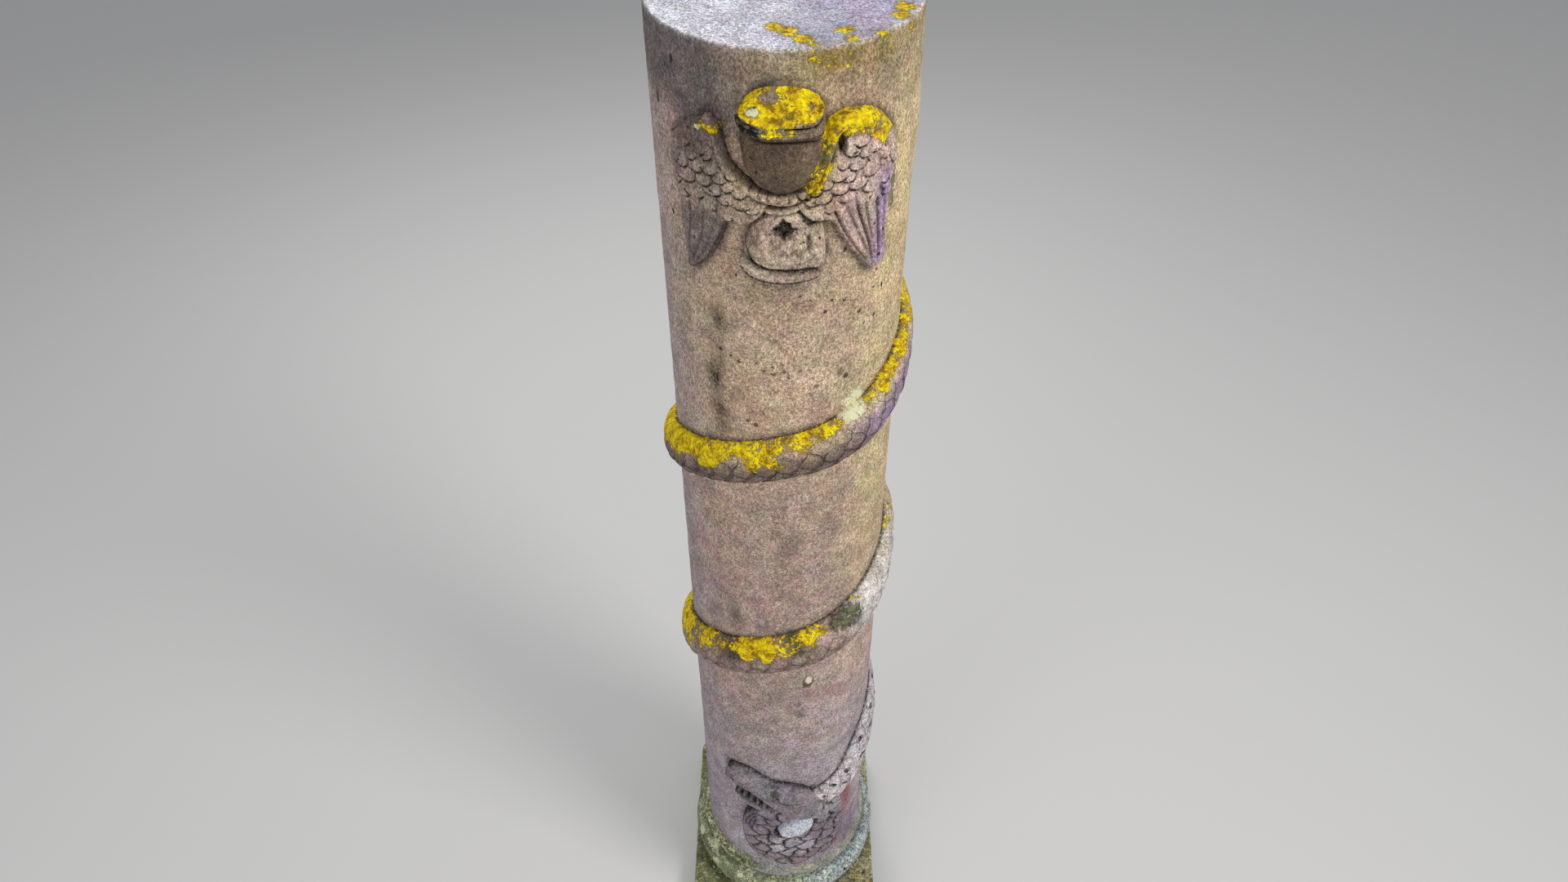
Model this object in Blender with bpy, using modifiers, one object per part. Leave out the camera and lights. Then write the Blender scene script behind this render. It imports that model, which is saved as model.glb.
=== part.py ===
import bisect
from math import cos, pi, radians, sin

import bmesh
import bpy
from mathutils import Matrix, Vector

# Funerary column: a round stone shaft, carved with a winged hourglass and with a serpent that
# winds down it, on a base block cut as a torus over a square plinth.
# Metres, +Z up, the front faces -Y. Angles round the shaft are in degrees from the front,
# growing towards +X. Carvings are drawn flat, as (angle, height), and then bent round the shaft.

# Base block
PLINTH_SIDE = 0.374
PLINTH_HEIGHT = 0.070
PLINTH_EDGE = 0.004
TORUS_THICKNESS = 0.078
TORUS_CENTRE_RADIUS = 0.148
TORUS_SEGMENTS = 10

# Shaft
COLUMN_HEIGHT = 1.875
JOINT_GAP = 0.0003
FILLET_RADIUS = 0.166
FILLET_HEIGHT = 0.014
FLARE_RADIUS = 0.1635
FLARE_HEIGHT = 0.036
SHAFT_FOOT_RADIUS = 0.155
SHAFT_TOP_RADIUS = 0.1505
RIM_ROUNDING = 0.004
TURNED_STEPS = 64

TORUS_TOP = PLINTH_HEIGHT + TORUS_THICKNESS
SHAFT_BOTTOM = TORUS_TOP + JOINT_GAP
FILLET_TOP = SHAFT_BOTTOM + FILLET_HEIGHT
FLARE_TOP = FILLET_TOP + FLARE_HEIGHT

# Carvings
CARVING_RADIUS = 0.153
BURIED = 0.016
JOIN_DISTANCE = 0.00001

# Serpent, from the tip of its tail: angle turned, height of its middle, half its width, and
# how far it stands proud of the shaft. A whole turn back to the same side takes off 360.
SERPENT = [
    (262, 1.578, 0.006, 0.003), (225, 1.551, 0.018, 0.009), (180, 1.515, 0.028, 0.015),
    (130, 1.470, 0.034, 0.018), (83, 1.418, 0.040, 0.020), (45, 1.366, 0.048, 0.022),
    (20, 1.344, 0.043, 0.022), (0, 1.332, 0.039, 0.021), (-83, 1.243, 0.038, 0.022),
    (-180, 1.126, 0.040, 0.023), (-277, 1.011, 0.046, 0.022), (-315, 0.950, 0.051, 0.023),
    (-340, 0.922, 0.049, 0.024), (-360, 0.906, 0.045, 0.024), (-410, 0.850, 0.044, 0.023),
    (-443, 0.800, 0.045, 0.022), (-540, 0.668, 0.038, 0.017), (-600, 0.614, 0.033, 0.011),
    (-630, 0.592, 0.031, 0.012), (-646, 0.566, 0.032, 0.017), (-660, 0.523, 0.032, 0.021),
    (-673, 0.468, 0.031, 0.021), (-688, 0.443, 0.030, 0.020), (-704, 0.428, 0.030, 0.018),
]
SERPENT_STEP = 11
SERPENT_SIDES = 12

# Forms carved in relief: angle, height, half width and how far each stands proud, along its middle.
# The head runs from the snout to the neck, and the lower jaw hangs under it.
HEAD = [
    (-40, 0.508, 0.012, 0.012),
    (-36, 0.509, 0.020, 0.020),
    (-24, 0.511, 0.024, 0.025),
    (-13, 0.496, 0.026, 0.027),
    (-6, 0.479, 0.031, 0.028),
    (3, 0.460, 0.038, 0.028),
    (13, 0.441, 0.043, 0.027),
    (22, 0.425, 0.038, 0.026),
    (29, 0.415, 0.026, 0.024),
]
LOWER_JAW = [
    (-35, 0.463, 0.006, 0.016),
    (-27, 0.456, 0.006, 0.019),
    (-17, 0.443, 0.007, 0.020),
    (-6, 0.425, 0.012, 0.020),
]
TOOTH_COUNT = 5
TOOTH_FIRST = (-30, 0.470)
TOOTH_LAST = (-13, 0.454)
TOOTH_LENGTH = 0.034
TOOTH_RADIUS = 0.0035
TOOTH_PROUD = 0.013

# The fold of the body under the head, and the smooth oval lying in it
FOLD = [
    (-29, 0.325, 0.048, 0.012), (-18, 0.330, 0.088, 0.020), (0, 0.325, 0.112, 0.025),
    (16, 0.322, 0.110, 0.025), (32, 0.332, 0.096, 0.020), (44, 0.335, 0.050, 0.012),
]
OVAL = [(-3, 0.357, 0.010, 0.026), (9, 0.366, 0.016, 0.030), (21, 0.376, 0.012, 0.026)]

# Winged hourglass: the turned glass between its two end plates, flattened against the shaft.
# The top of the upper plate is cut sloping down towards the front.
GLASS_MIDDLE = -2
PLATE_TOP = 1.836
PLATE_LIP = 1.794
GLASS_DEPTH = 0.74
GLASS_PROFILE = [
    (0.0, PLATE_TOP), (0.034, 1.834), (0.044, 1.824), (0.048, 1.812), (0.048, PLATE_LIP), (0.043, 1.790),
    (0.041, 1.772), (0.034, 1.750), (0.024, 1.735), (0.014, 1.728), (0.014, 1.712),
    (0.026, 1.702), (0.036, 1.690), (0.041, 1.672), (0.044, 1.640), (0.049, 1.636),
    (0.049, 1.620), (0.0, 1.616),
]
GLASS_STEPS = 24
PLATE_SLOPE = 0.58

# The rounded leading edge of both wings, which runs from one shoulder down under the upper
# glass and up to the other
WING_ARCH = [
    (-51, 1.752, 0.006, 0.004), (-46, 1.766, 0.010, 0.015), (-38, 1.781, 0.012, 0.019),
    (-29, 1.786, 0.013, 0.020), (-22, 1.768, 0.012, 0.019), (-16, 1.742, 0.010, 0.018),
    (-8, 1.723, 0.009, 0.018), (0, 1.717, 0.009, 0.018), (8, 1.724, 0.009, 0.018),
    (15, 1.746, 0.010, 0.018), (20, 1.776, 0.012, 0.019), (27, 1.793, 0.013, 0.020),
    (36, 1.788, 0.012, 0.019), (44, 1.770, 0.010, 0.015), (50, 1.748, 0.006, 0.004),
]
WING_ARCH_STEP = 3.6
WING_ARCH_SIDES = 8

# Each wing: the direction it faces, the outline of its blade, then the first and last feather
# of each short row, and the roots and tips of the first and last long feathers
WINGS = {
    "left": {
        "facing": -26,
        "proud": 0.0096,
        "outline": [
            (3, 1.717), (-8, 1.722), (-14, 1.734), (-20, 1.754), (-23.5, 1.780), (-28, 1.794),
            (-33, 1.795), (-39, 1.788), (-45, 1.775), (-49.5, 1.760), (-50.5, 1.742),
            (-49, 1.714), (-47.5, 1.680), (-47, 1.645), (-46, 1.615), (-44, 1.600),
            (-41, 1.598), (-37.5, 1.607), (-32.5, 1.623), (-29, 1.640), (-25.5, 1.661),
            (-22, 1.680), (-15.5, 1.680), (-7, 1.692), (3, 1.695),
        ],
        "short_rows": [
            ((-44, 1.754), (-27.5, 1.758), 4), ((-45, 1.732), (-24, 1.729), 5),
            ((-45, 1.710), (-18, 1.699), 6),
        ],
        "roots": ((-45, 1.700), (-25.5, 1.690)),
        "tips": ((-43.5, 1.606), (-27.5, 1.656)),
    },
    "right": {
        "facing": 26,
        "proud": 0.0108,
        "outline": [
            (-3, 1.696), (7, 1.692), (11, 1.682), (18, 1.684), (22.5, 1.663), (28.5, 1.639),
            (34, 1.618), (38.5, 1.602), (42.5, 1.598), (46, 1.603), (47.5, 1.622),
            (47.5, 1.650), (47.5, 1.690), (49, 1.724), (50, 1.744), (48.5, 1.764),
            (43, 1.781), (37, 1.796), (30, 1.804), (24.5, 1.802), (20.5, 1.788),
            (17.5, 1.756), (12, 1.736), (6, 1.722), (-3, 1.719),
        ],
        "short_rows": [
            ((27, 1.764), (44, 1.758), 4), ((23, 1.731), (45, 1.736), 5),
            ((18, 1.702), (45.5, 1.714), 6),
        ],
        "roots": ((25.5, 1.692), (45, 1.702)),
        "tips": ((28.5, 1.652), (44.5, 1.606)),
    },
}
WING_BAND = (1.58, 1.82)
BLADE_REACH = 0.1
SHORT_FEATHER = (0.015, 0.0108, 0.0175)
LONG_FEATHER_COUNT = 5
LONG_FEATHER_HALF_WIDTH = 0.0078
LONG_FEATHER_PROUD = 0.0155

STONE_COLOUR = (0.42, 0.36, 0.32, 1.0)
BASE_COLOUR = (0.24, 0.27, 0.22, 1.0)


def clear_scene():
    for thing in list(bpy.data.objects):
        bpy.data.objects.remove(thing, do_unlink=True)


def make_collection(name):
    collection = bpy.data.collections.new(name)
    bpy.context.scene.collection.children.link(collection)
    return collection


def make_stone(name, colour, roughness):
    material = bpy.data.materials.new(name)
    material.use_nodes = True
    shader = material.node_tree.nodes["Principled BSDF"]
    shader.inputs["Base Color"].default_value = colour
    shader.inputs["Roughness"].default_value = roughness
    shader.inputs["Metallic"].default_value = 0.0
    return material


def add_object(name, mesh, collection):
    thing = bpy.data.objects.new(name, mesh)
    collection.objects.link(thing)
    return thing


def applied_mesh(thing):
    # The evaluated mesh of an object, on its own, once the object itself is gone
    graph = bpy.context.evaluated_depsgraph_get()
    mesh = bpy.data.meshes.new_from_object(thing.evaluated_get(graph))
    source = thing.data
    name = thing.name
    bpy.data.objects.remove(thing, do_unlink=True)
    if isinstance(source, bpy.types.Curve):
        bpy.data.curves.remove(source)
    mesh.name = name
    return mesh


def mark_carving(thing):
    thing.hide_render = True
    thing.display_type = "WIRE"


def turned_mesh(name, profile, steps, collection):
    # A profile of (radius, height) pairs, top to bottom, turned once round the Z axis
    mesh = bpy.data.meshes.new(name)
    bm = bmesh.new()
    corners = [bm.verts.new((radius, 0.0, height)) for radius, height in profile]
    for upper, lower in zip(corners, corners[1:]):
        bm.edges.new((upper, lower))
    bm.to_mesh(mesh)
    bm.free()
    thing = add_object(name, mesh, collection)
    screw = thing.modifiers.new("turn", "SCREW")
    screw.axis = "Z"
    screw.steps = steps
    screw.render_steps = steps
    screw.use_merge_vertices = True
    screw.merge_threshold = 0.0001
    screw.use_smooth_shade = True
    bpy.context.view_layer.update()
    return applied_mesh(thing)


def shaft_radius(height):
    # The straight taper of the shaft, carried on down behind the flare
    share = (height - FLARE_TOP) / (COLUMN_HEIGHT - FLARE_TOP)
    return SHAFT_FOOT_RADIUS + share * (SHAFT_TOP_RADIUS - SHAFT_FOOT_RADIUS)


def flat_point(angle, height, proud=0.0):
    # Where a drawn (angle, height) lies on the carver's flat sheet
    return Vector((radians(angle) * CARVING_RADIUS, height, proud))


def bent(point):
    # A point of the flat sheet, bent round the shaft
    angle = point.x / CARVING_RADIUS
    radius = shaft_radius(point.y) + point.z
    return Vector((radius * sin(angle), -radius * cos(angle), point.y))


def smooth_row(places, rows, place):
    # A row of a table, read on a smooth curve through its rows at a place between theirs
    index = min(max(bisect.bisect_right(places, place) - 1, 0), len(rows) - 2)
    length = places[index + 1] - places[index]
    share = (place - places[index]) / length
    first, last = max(index - 1, 0), min(index + 2, len(rows) - 1)
    start_weight = length / (places[index + 1] - places[first])
    end_weight = length / (places[last] - places[index])
    square, cube = share**2, share**3
    values = []
    for before, start, end, after in zip(rows[first], rows[index], rows[index + 1], rows[last]):
        values.append(
            (2 * cube - 3 * square + 1) * start
            + (cube - 2 * square + share) * (end - before) * start_weight
            + (3 * square - 2 * cube) * end
            + (cube - square) * (after - start) * end_weight
        )
    return values


def tube_mesh(name, points, radii, sides, collection):
    # A round tube along points, with a radius at each, and closed ends
    curve = bpy.data.curves.new(name, "CURVE")
    curve.dimensions = "3D"
    curve.bevel_depth = 1.0
    curve.bevel_resolution = (sides - 4) // 2
    curve.use_fill_caps = True
    spline = curve.splines.new("POLY")
    spline.points.add(len(points) - 1)
    for control, place, radius in zip(spline.points, points, radii):
        control.co = (*place, 1.0)
        control.radius = radius
    mesh = applied_mesh(add_object(name, curve, collection))
    bm = bmesh.new()
    bm.from_mesh(mesh)
    bmesh.ops.remove_doubles(bm, verts=bm.verts[:], dist=JOIN_DISTANCE)
    bmesh.ops.recalc_face_normals(bm, faces=bm.faces[:])
    bm.to_mesh(mesh)
    bm.free()
    return mesh


def add_roll(name, rows, step, sides, collection):
    # A tube whose middle runs inside the shaft, so that only its round back stands proud
    places = [abs(row[0] - rows[0][0]) for row in rows]
    steps = round(places[-1] / step)
    points, radii = [], []
    for number in range(steps + 1):
        angle, height, half_width, proud = smooth_row(places, rows, places[-1] * number / steps)
        radius = (half_width**2 + proud**2) / (2 * proud)
        points.append(bent(flat_point(angle, height, proud - radius)))
        radii.append(radius)
    mark_carving(add_object(name, tube_mesh(name, points, radii, sides, collection), collection))


def add_form(name, rows, around, along, fullness, collection):
    # A rounded form along a drawn line, from a sphere whose poles become its two ends. A fuller
    # form is blunter at its ends and squarer across.
    line = [flat_point(angle, height) for angle, height, half_width, proud in rows]
    places = [0.0]
    for start, end in zip(line, line[1:]):
        places.append(places[-1] + (end - start).length)
    bm = bmesh.new()
    bmesh.ops.create_uvsphere(bm, u_segments=around, v_segments=along, radius=1.0)
    for corner in bm.verts:
        turned = Vector((corner.co.x, corner.co.y))
        reach = max(1 - abs(corner.co.z) ** fullness, 0.0) ** (1 / fullness)
        place = places[-1] * (corner.co.z + 1) / 2
        angle, height, half_width, proud = smooth_row(places, rows, place)
        step = places[-1] / 100
        ahead = smooth_row(places, rows, min(place + step, places[-1]))
        behind = smooth_row(places, rows, max(place - step, 0.0))
        direction = (flat_point(ahead[0], ahead[1]) - flat_point(behind[0], behind[1])).normalized()
        across, out = 0.0, 0.0
        if turned.length > JOIN_DISTANCE:
            across, out = turned.normalized()
            size = (abs(across) ** fullness + abs(out) ** fullness) ** (-1 / fullness)
            across, out = across * size * reach, out * size * reach
        out *= proud if out > 0 else BURIED
        side = Vector((-direction.y, direction.x, 0.0)) * across * half_width
        corner.co = bent(flat_point(angle, height) + side + Vector((0.0, 0.0, out)))
    mesh = bpy.data.meshes.new(name)
    bm.to_mesh(mesh)
    bm.free()
    mark_carving(add_object(name, mesh, collection))


def between(start, end, share):
    return tuple(a + (b - a) * share for a, b in zip(start, end))


def add_short_feather(name, place, collection):
    # A small rounded feather, standing upright in its row
    half_length, half_width, proud = SHORT_FEATHER
    angle, height = place
    rows = [
        (angle, height + half_length, half_width * 0.8, proud * 0.7),
        (angle, height, half_width, proud * 0.9),
        (angle, height - half_length, half_width * 0.8, proud),
    ]
    add_form(name, rows, 8, 6, 2.2, collection)


def add_long_feather(name, root, tip, collection):
    rows = [
        (*root, LONG_FEATHER_HALF_WIDTH, LONG_FEATHER_PROUD),
        (*between(root, tip, 0.6), LONG_FEATHER_HALF_WIDTH, LONG_FEATHER_PROUD),
        (*tip, LONG_FEATHER_HALF_WIDTH * 0.7, LONG_FEATHER_PROUD),
    ]
    add_form(name, rows, 8, 8, 3.2, collection)


def add_blade(name, facing, proud, outline, collection):
    # The flat of a wing: a disc a little larger than the shaft, kept only inside the outline
    low, high = WING_BAND
    radius = shaft_radius(low) + proud
    curve = bpy.data.curves.new(f"{name}_outline", "CURVE")
    curve.dimensions = "2D"
    curve.fill_mode = "BOTH"
    curve.extrude = BLADE_REACH / 2
    spline = curve.splines.new("POLY")
    spline.points.add(len(outline) - 1)
    spline.use_cyclic_u = True
    for control, (angle, height) in zip(spline.points, outline):
        control.co = (radius * sin(radians(angle - facing)), height, 0.0, 1.0)
    sheet = applied_mesh(add_object(f"{name}_outline", curve, collection))
    sheet.transform(
        Matrix.Rotation(radians(facing), 4, "Z")
        @ Matrix.Translation((0, -radius, 0))
        @ Matrix.Rotation(radians(90), 4, "X")
    )
    bm = bmesh.new()
    bm.from_mesh(sheet)
    bmesh.ops.remove_doubles(bm, verts=bm.verts[:], dist=JOIN_DISTANCE)
    bmesh.ops.recalc_face_normals(bm, faces=bm.faces[:])
    bm.to_mesh(sheet)
    bm.free()
    cutter = add_object(f"{name}_outline", sheet, collection)
    disc = turned_mesh(name, [(0.0, high), (radius, high), (radius, low), (0.0, low)],
                       TURNED_STEPS, collection)
    blank = add_object(name, disc, collection)
    cut = blank.modifiers.new("outline", "BOOLEAN")
    cut.operation = "INTERSECT"
    cut.object = cutter
    cut.solver = "EXACT"
    bpy.context.view_layer.update()
    blade = applied_mesh(blank)
    bpy.data.objects.remove(cutter, do_unlink=True)
    mark_carving(add_object(name, blade, collection))


def add_wing(side, wing, collection):
    add_blade(f"{side}_wing", wing["facing"], wing["proud"], wing["outline"], collection)
    for row, (start, end, count) in enumerate(wing["short_rows"]):
        for number in range(count):
            place = between(start, end, number / (count - 1))
            add_short_feather(f"{side}_short_feather_{row}_{number}", place, collection)
    for number in range(LONG_FEATHER_COUNT):
        share = number / (LONG_FEATHER_COUNT - 1)
        root = between(*wing["roots"], share)
        tip = between(*wing["tips"], share)
        add_long_feather(f"{side}_long_feather_{number}", root, tip, collection)


def add_hourglass(collection):
    mesh = turned_mesh("hourglass", GLASS_PROFILE, GLASS_STEPS, collection)
    for corner in mesh.vertices:
        share = max(corner.co.z - PLATE_LIP, 0.0) / (PLATE_TOP - PLATE_LIP)
        corner.co.z += share * PLATE_SLOPE * GLASS_DEPTH * corner.co.y
    mesh.transform(
        Matrix.Rotation(radians(GLASS_MIDDLE), 4, "Z")
        @ Matrix.Translation((0, -SHAFT_TOP_RADIUS, 0))
        @ Matrix.Diagonal((1.0, GLASS_DEPTH, 1.0, 1.0))
    )
    mark_carving(add_object("hourglass", mesh, collection))


def add_head(collection):
    add_form("serpent_head", HEAD, 18, 16, 2.5, collection)
    add_form("lower_jaw", LOWER_JAW, 10, 8, 2.5, collection)
    for number in range(TOOTH_COUNT):
        angle, height = between(TOOTH_FIRST, TOOTH_LAST, number / (TOOTH_COUNT - 1))
        bm = bmesh.new()
        bmesh.ops.create_cone(
            bm, cap_ends=True, segments=8, radius1=TOOTH_RADIUS, radius2=TOOTH_RADIUS / 3,
            depth=TOOTH_LENGTH,
        )
        foot = bent(flat_point(angle, height, TOOTH_PROUD))
        bmesh.ops.translate(bm, verts=bm.verts[:], vec=foot)
        mesh = bpy.data.meshes.new(f"tooth_{number}")
        bm.to_mesh(mesh)
        bm.free()
        mark_carving(add_object(f"tooth_{number}", mesh, collection))


def add_fold(collection):
    add_form("fold", FOLD, 20, 14, 2.4, collection)
    add_form("oval", OVAL, 12, 8, 2.1, collection)


def arc(centre_radius, centre_height, size, start, end, segments):
    # Points of an arc in a profile, from one angle to another, in degrees above the horizontal
    points = []
    for step in range(segments + 1):
        turn = radians(start + (end - start) * step / segments)
        points.append((centre_radius + size * cos(turn), centre_height + size * sin(turn)))
    return points


def shaft_profile():
    flare_width = FLARE_RADIUS - SHAFT_FOOT_RADIUS
    flare = []
    for step in range(6):
        share = step / 5
        drop = sin(share * pi / 2)
        spread = 1 - cos(share * pi / 2)
        flare.append((SHAFT_FOOT_RADIUS + flare_width * spread, FLARE_TOP - FLARE_HEIGHT * drop))
    rim_radius = SHAFT_TOP_RADIUS - RIM_ROUNDING
    return [
        (0.0, COLUMN_HEIGHT),
        *arc(rim_radius, COLUMN_HEIGHT - RIM_ROUNDING, RIM_ROUNDING, 90, 0, 3),
        *flare,
        (FILLET_RADIUS, FILLET_TOP),
        (FILLET_RADIUS, SHAFT_BOTTOM),
        (0.0, SHAFT_BOTTOM),
    ]


def build_shaft(parts, carvings, stone):
    mesh = turned_mesh("column_shaft", shaft_profile(), TURNED_STEPS, parts)
    shaft = add_object("column_shaft", mesh, parts)
    shaft.data.materials.append(stone)
    add_roll("serpent_body", SERPENT, SERPENT_STEP, SERPENT_SIDES, carvings)
    add_head(carvings)
    add_fold(carvings)
    add_hourglass(carvings)
    add_roll("wing_arch", WING_ARCH, WING_ARCH_STEP, WING_ARCH_SIDES, carvings)
    for side, wing in WINGS.items():
        add_wing(side, wing, carvings)
    join = shaft.modifiers.new("carvings", "BOOLEAN")
    join.operation = "UNION"
    join.operand_type = "COLLECTION"
    join.collection = carvings
    join.solver = "EXACT"
    return shaft


def build_base(parts, carvings, stone):
    half_torus = TORUS_THICKNESS / 2
    inside = PLINTH_HEIGHT / 2
    profile = [
        (0.0, TORUS_TOP),
        *arc(TORUS_CENTRE_RADIUS, PLINTH_HEIGHT + half_torus, half_torus, 90, -90, TORUS_SEGMENTS),
        (TORUS_CENTRE_RADIUS - half_torus, inside),
        (0.0, inside),
    ]
    mesh = turned_mesh("torus_plinth", profile, TURNED_STEPS, parts)
    base = add_object("torus_plinth", mesh, parts)
    base.data.materials.append(stone)
    bm = bmesh.new()
    bmesh.ops.create_cube(bm, size=1.0)
    bmesh.ops.scale(bm, verts=bm.verts[:], vec=(PLINTH_SIDE, PLINTH_SIDE, PLINTH_HEIGHT))
    bmesh.ops.translate(bm, verts=bm.verts[:], vec=(0, 0, PLINTH_HEIGHT / 2))
    rim = []
    for edge in bm.edges:
        if all(corner.co.z > inside for corner in edge.verts):
            rim.append(edge)
    bmesh.ops.bevel(bm, geom=rim, offset=PLINTH_EDGE, segments=2, profile=0.5, affect="EDGES")
    square = bpy.data.meshes.new("square_plinth")
    bm.to_mesh(square)
    bm.free()
    plinth = add_object("square_plinth", square, carvings)
    mark_carving(plinth)
    join = base.modifiers.new("plinth", "BOOLEAN")
    join.operation = "UNION"
    join.object = plinth
    join.solver = "EXACT"
    return base


def main():
    clear_scene()
    parts = make_collection("funerary_column")
    shaft_carvings = make_collection("shaft_carvings")
    base_shapes = make_collection("base_shapes")
    for helper in (shaft_carvings, base_shapes):
        helper.hide_render = True
    build_shaft(parts, shaft_carvings, make_stone("weathered_sandstone", STONE_COLOUR, 0.9))
    build_base(parts, base_shapes, make_stone("mossy_base_stone", BASE_COLOUR, 0.92))


main()
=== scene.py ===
import math

import bmesh
import bpy
import numpy as np
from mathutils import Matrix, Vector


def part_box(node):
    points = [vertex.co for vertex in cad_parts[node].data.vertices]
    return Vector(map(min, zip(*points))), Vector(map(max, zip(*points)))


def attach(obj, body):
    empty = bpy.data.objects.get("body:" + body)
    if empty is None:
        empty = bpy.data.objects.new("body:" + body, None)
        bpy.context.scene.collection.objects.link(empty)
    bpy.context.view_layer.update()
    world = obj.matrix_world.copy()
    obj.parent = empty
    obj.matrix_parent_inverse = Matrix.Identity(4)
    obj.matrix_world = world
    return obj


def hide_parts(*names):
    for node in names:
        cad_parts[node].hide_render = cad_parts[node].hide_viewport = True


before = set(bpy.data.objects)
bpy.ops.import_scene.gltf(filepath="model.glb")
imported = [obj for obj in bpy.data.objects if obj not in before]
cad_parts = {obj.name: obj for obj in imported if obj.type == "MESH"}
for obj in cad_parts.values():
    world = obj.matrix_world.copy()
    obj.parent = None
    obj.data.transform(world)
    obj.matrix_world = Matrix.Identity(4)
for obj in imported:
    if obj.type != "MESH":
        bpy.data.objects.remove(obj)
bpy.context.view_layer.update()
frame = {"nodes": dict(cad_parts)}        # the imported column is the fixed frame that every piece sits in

shaftLow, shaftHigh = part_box("column_shaft")
baseLow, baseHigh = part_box("torus_plinth")
print("frame loaded:", ", ".join(frame["nodes"]))

# The turned shaft, in metres, with heights above the ground
column = {
    "bottom": shaftLow[2],
    "top": shaftHigh[2],
    "footRadius": 0.155,
    "topRadius": 0.1505,
    "filletRadius": 0.166,
    "filletHeight": 0.014,
    "flareRadius": 0.1635,
    "flareHeight": 0.036,
    "rimRounding": 0.004,
    "sheetRadius": 0.153,      # the carver's drawing is bent round this radius
    "steps": 208,
    "rowHeight": 0.0046,
    "topRing": 0.0065,
}


# Numbers and noise

def smooth(value, start, end):
    share = np.clip((value - start) / (end - start), 0, 1)
    return share * share * (3 - 2 * share)


def span(value, start, full, ending, end):
    # 1 between full and ending, and down to 0 at start and end
    return smooth(value, start, full) * smooth(value, end, ending)


def bell(value, middle, spread):
    return np.exp(-((value - middle) / spread) ** 2)


def ovalAway(x, y, middleX, middleY, reachX, reachY):
    # distance from the middle of an oval, 1 at its edge
    return np.hypot((x - middleX) / reachX, (y - middleY) / reachY)


def patch(*oval):
    # 1 in the middle of that oval, fading outwards
    return bell(ovalAway(*oval), 0, 1)


def cloud(points, cell, seed):
    # smooth lattice noise between -1 and 1, the same in each run
    place = np.asarray(points) / cell + 31.7 * seed
    corner = np.floor(place).astype(np.int64)
    part = place - corner
    part = part * part * (3 - 2 * part)
    total = np.zeros(len(place))
    for step in range(8):
        offset = np.array((step & 1, step >> 1 & 1, step >> 2 & 1))
        x, y, z = (corner + offset).T
        key = x * 73856093 ^ y * 19349663 ^ z * 83492791
        key = ((key ^ (key >> 13)) * 1274126177) & 0x7FFFFFFF
        value = ((key ^ (key >> 15)) & 0xFFFF) / 32767.5 - 1
        total += value * np.prod(np.where(offset, part, 1 - part), axis=1)
    return total


def grit(points, cell, layers, seed):
    total, weight = 0, 1
    for layer in range(layers):
        total = total + weight * cloud(points, cell / 2 ** layer, seed + layer)
        weight *= 0.55
    return total


def tone(red, green, blue):
    # a colour as a screen gives it, made linear
    values = np.array((red, green, blue)) / 255
    return np.where(values < 0.0405, values / 12.92, ((values + 0.055) / 1.055) ** 2.4)


def blend(colours, colour, share):
    share = np.reshape(share, (-1, 1))
    return colours * (1 - share) + colour * share


def glaze(colours, *coats):
    # paints over one another, each with its share
    for paint, share in coats:
        colours = blend(colours, tone(*paint), share)
    return colours


# The carver's sheet: across runs to the right round the shaft, height is above the ground

def arc(angle):
    return np.radians(angle) * column["sheetRadius"]


def angleOf(across):
    return np.degrees(across / column["sheetRadius"])


def shaftRadius(height):
    foot = column["bottom"] + column["filletHeight"] + column["flareHeight"]
    share = (height - foot) / (column["top"] - foot)
    return column["footRadius"] + share * (column["topRadius"] - column["footRadius"])


def bend(across, height, proud):
    angle = across / column["sheetRadius"]
    radius = shaftRadius(height) + proud
    return np.stack((radius * np.sin(angle), -radius * np.cos(angle), height), axis=-1)


def onSheet(places):
    places = np.array(places, float)
    places[:, 0] = arc(places[:, 0])
    return places


def smoothRows(rows, spacing, closed=False):
    # a smooth curve through rows of (angle, height, ...), and the length run at each of its points
    rows = onSheet(rows)
    if closed:
        rows = np.concatenate((rows[-1:], rows, rows[:2]))
    gaps = np.hypot(*np.diff(rows[:, :2], axis=0).T)
    places = np.concatenate(((0,), np.cumsum(gaps)))
    start, end = (places[1], places[-2]) if closed else (0, places[-1])
    where = np.linspace(start, end, int((end - start) / spacing) + 2)
    index = np.clip(np.searchsorted(places, where, "right") - 1, 0, len(gaps) - 1)
    first, last = np.maximum(index - 1, 0), np.minimum(index + 2, len(gaps))
    length = gaps[index]
    share = ((where - places[index]) / length)[:, None]
    startWeight = (length / (places[index + 1] - places[first]))[:, None]
    endWeight = (length / (places[last] - places[index]))[:, None]
    square, cube = share ** 2, share ** 3
    line = (
        (2 * cube - 3 * square + 1) * rows[index]
        + (cube - 2 * square + share) * (rows[index + 1] - rows[first]) * startWeight
        + (3 * square - 2 * cube) * rows[index + 1]
        + (cube - square) * (rows[last] - rows[index]) * endWeight
    )
    return line, where - start


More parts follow.
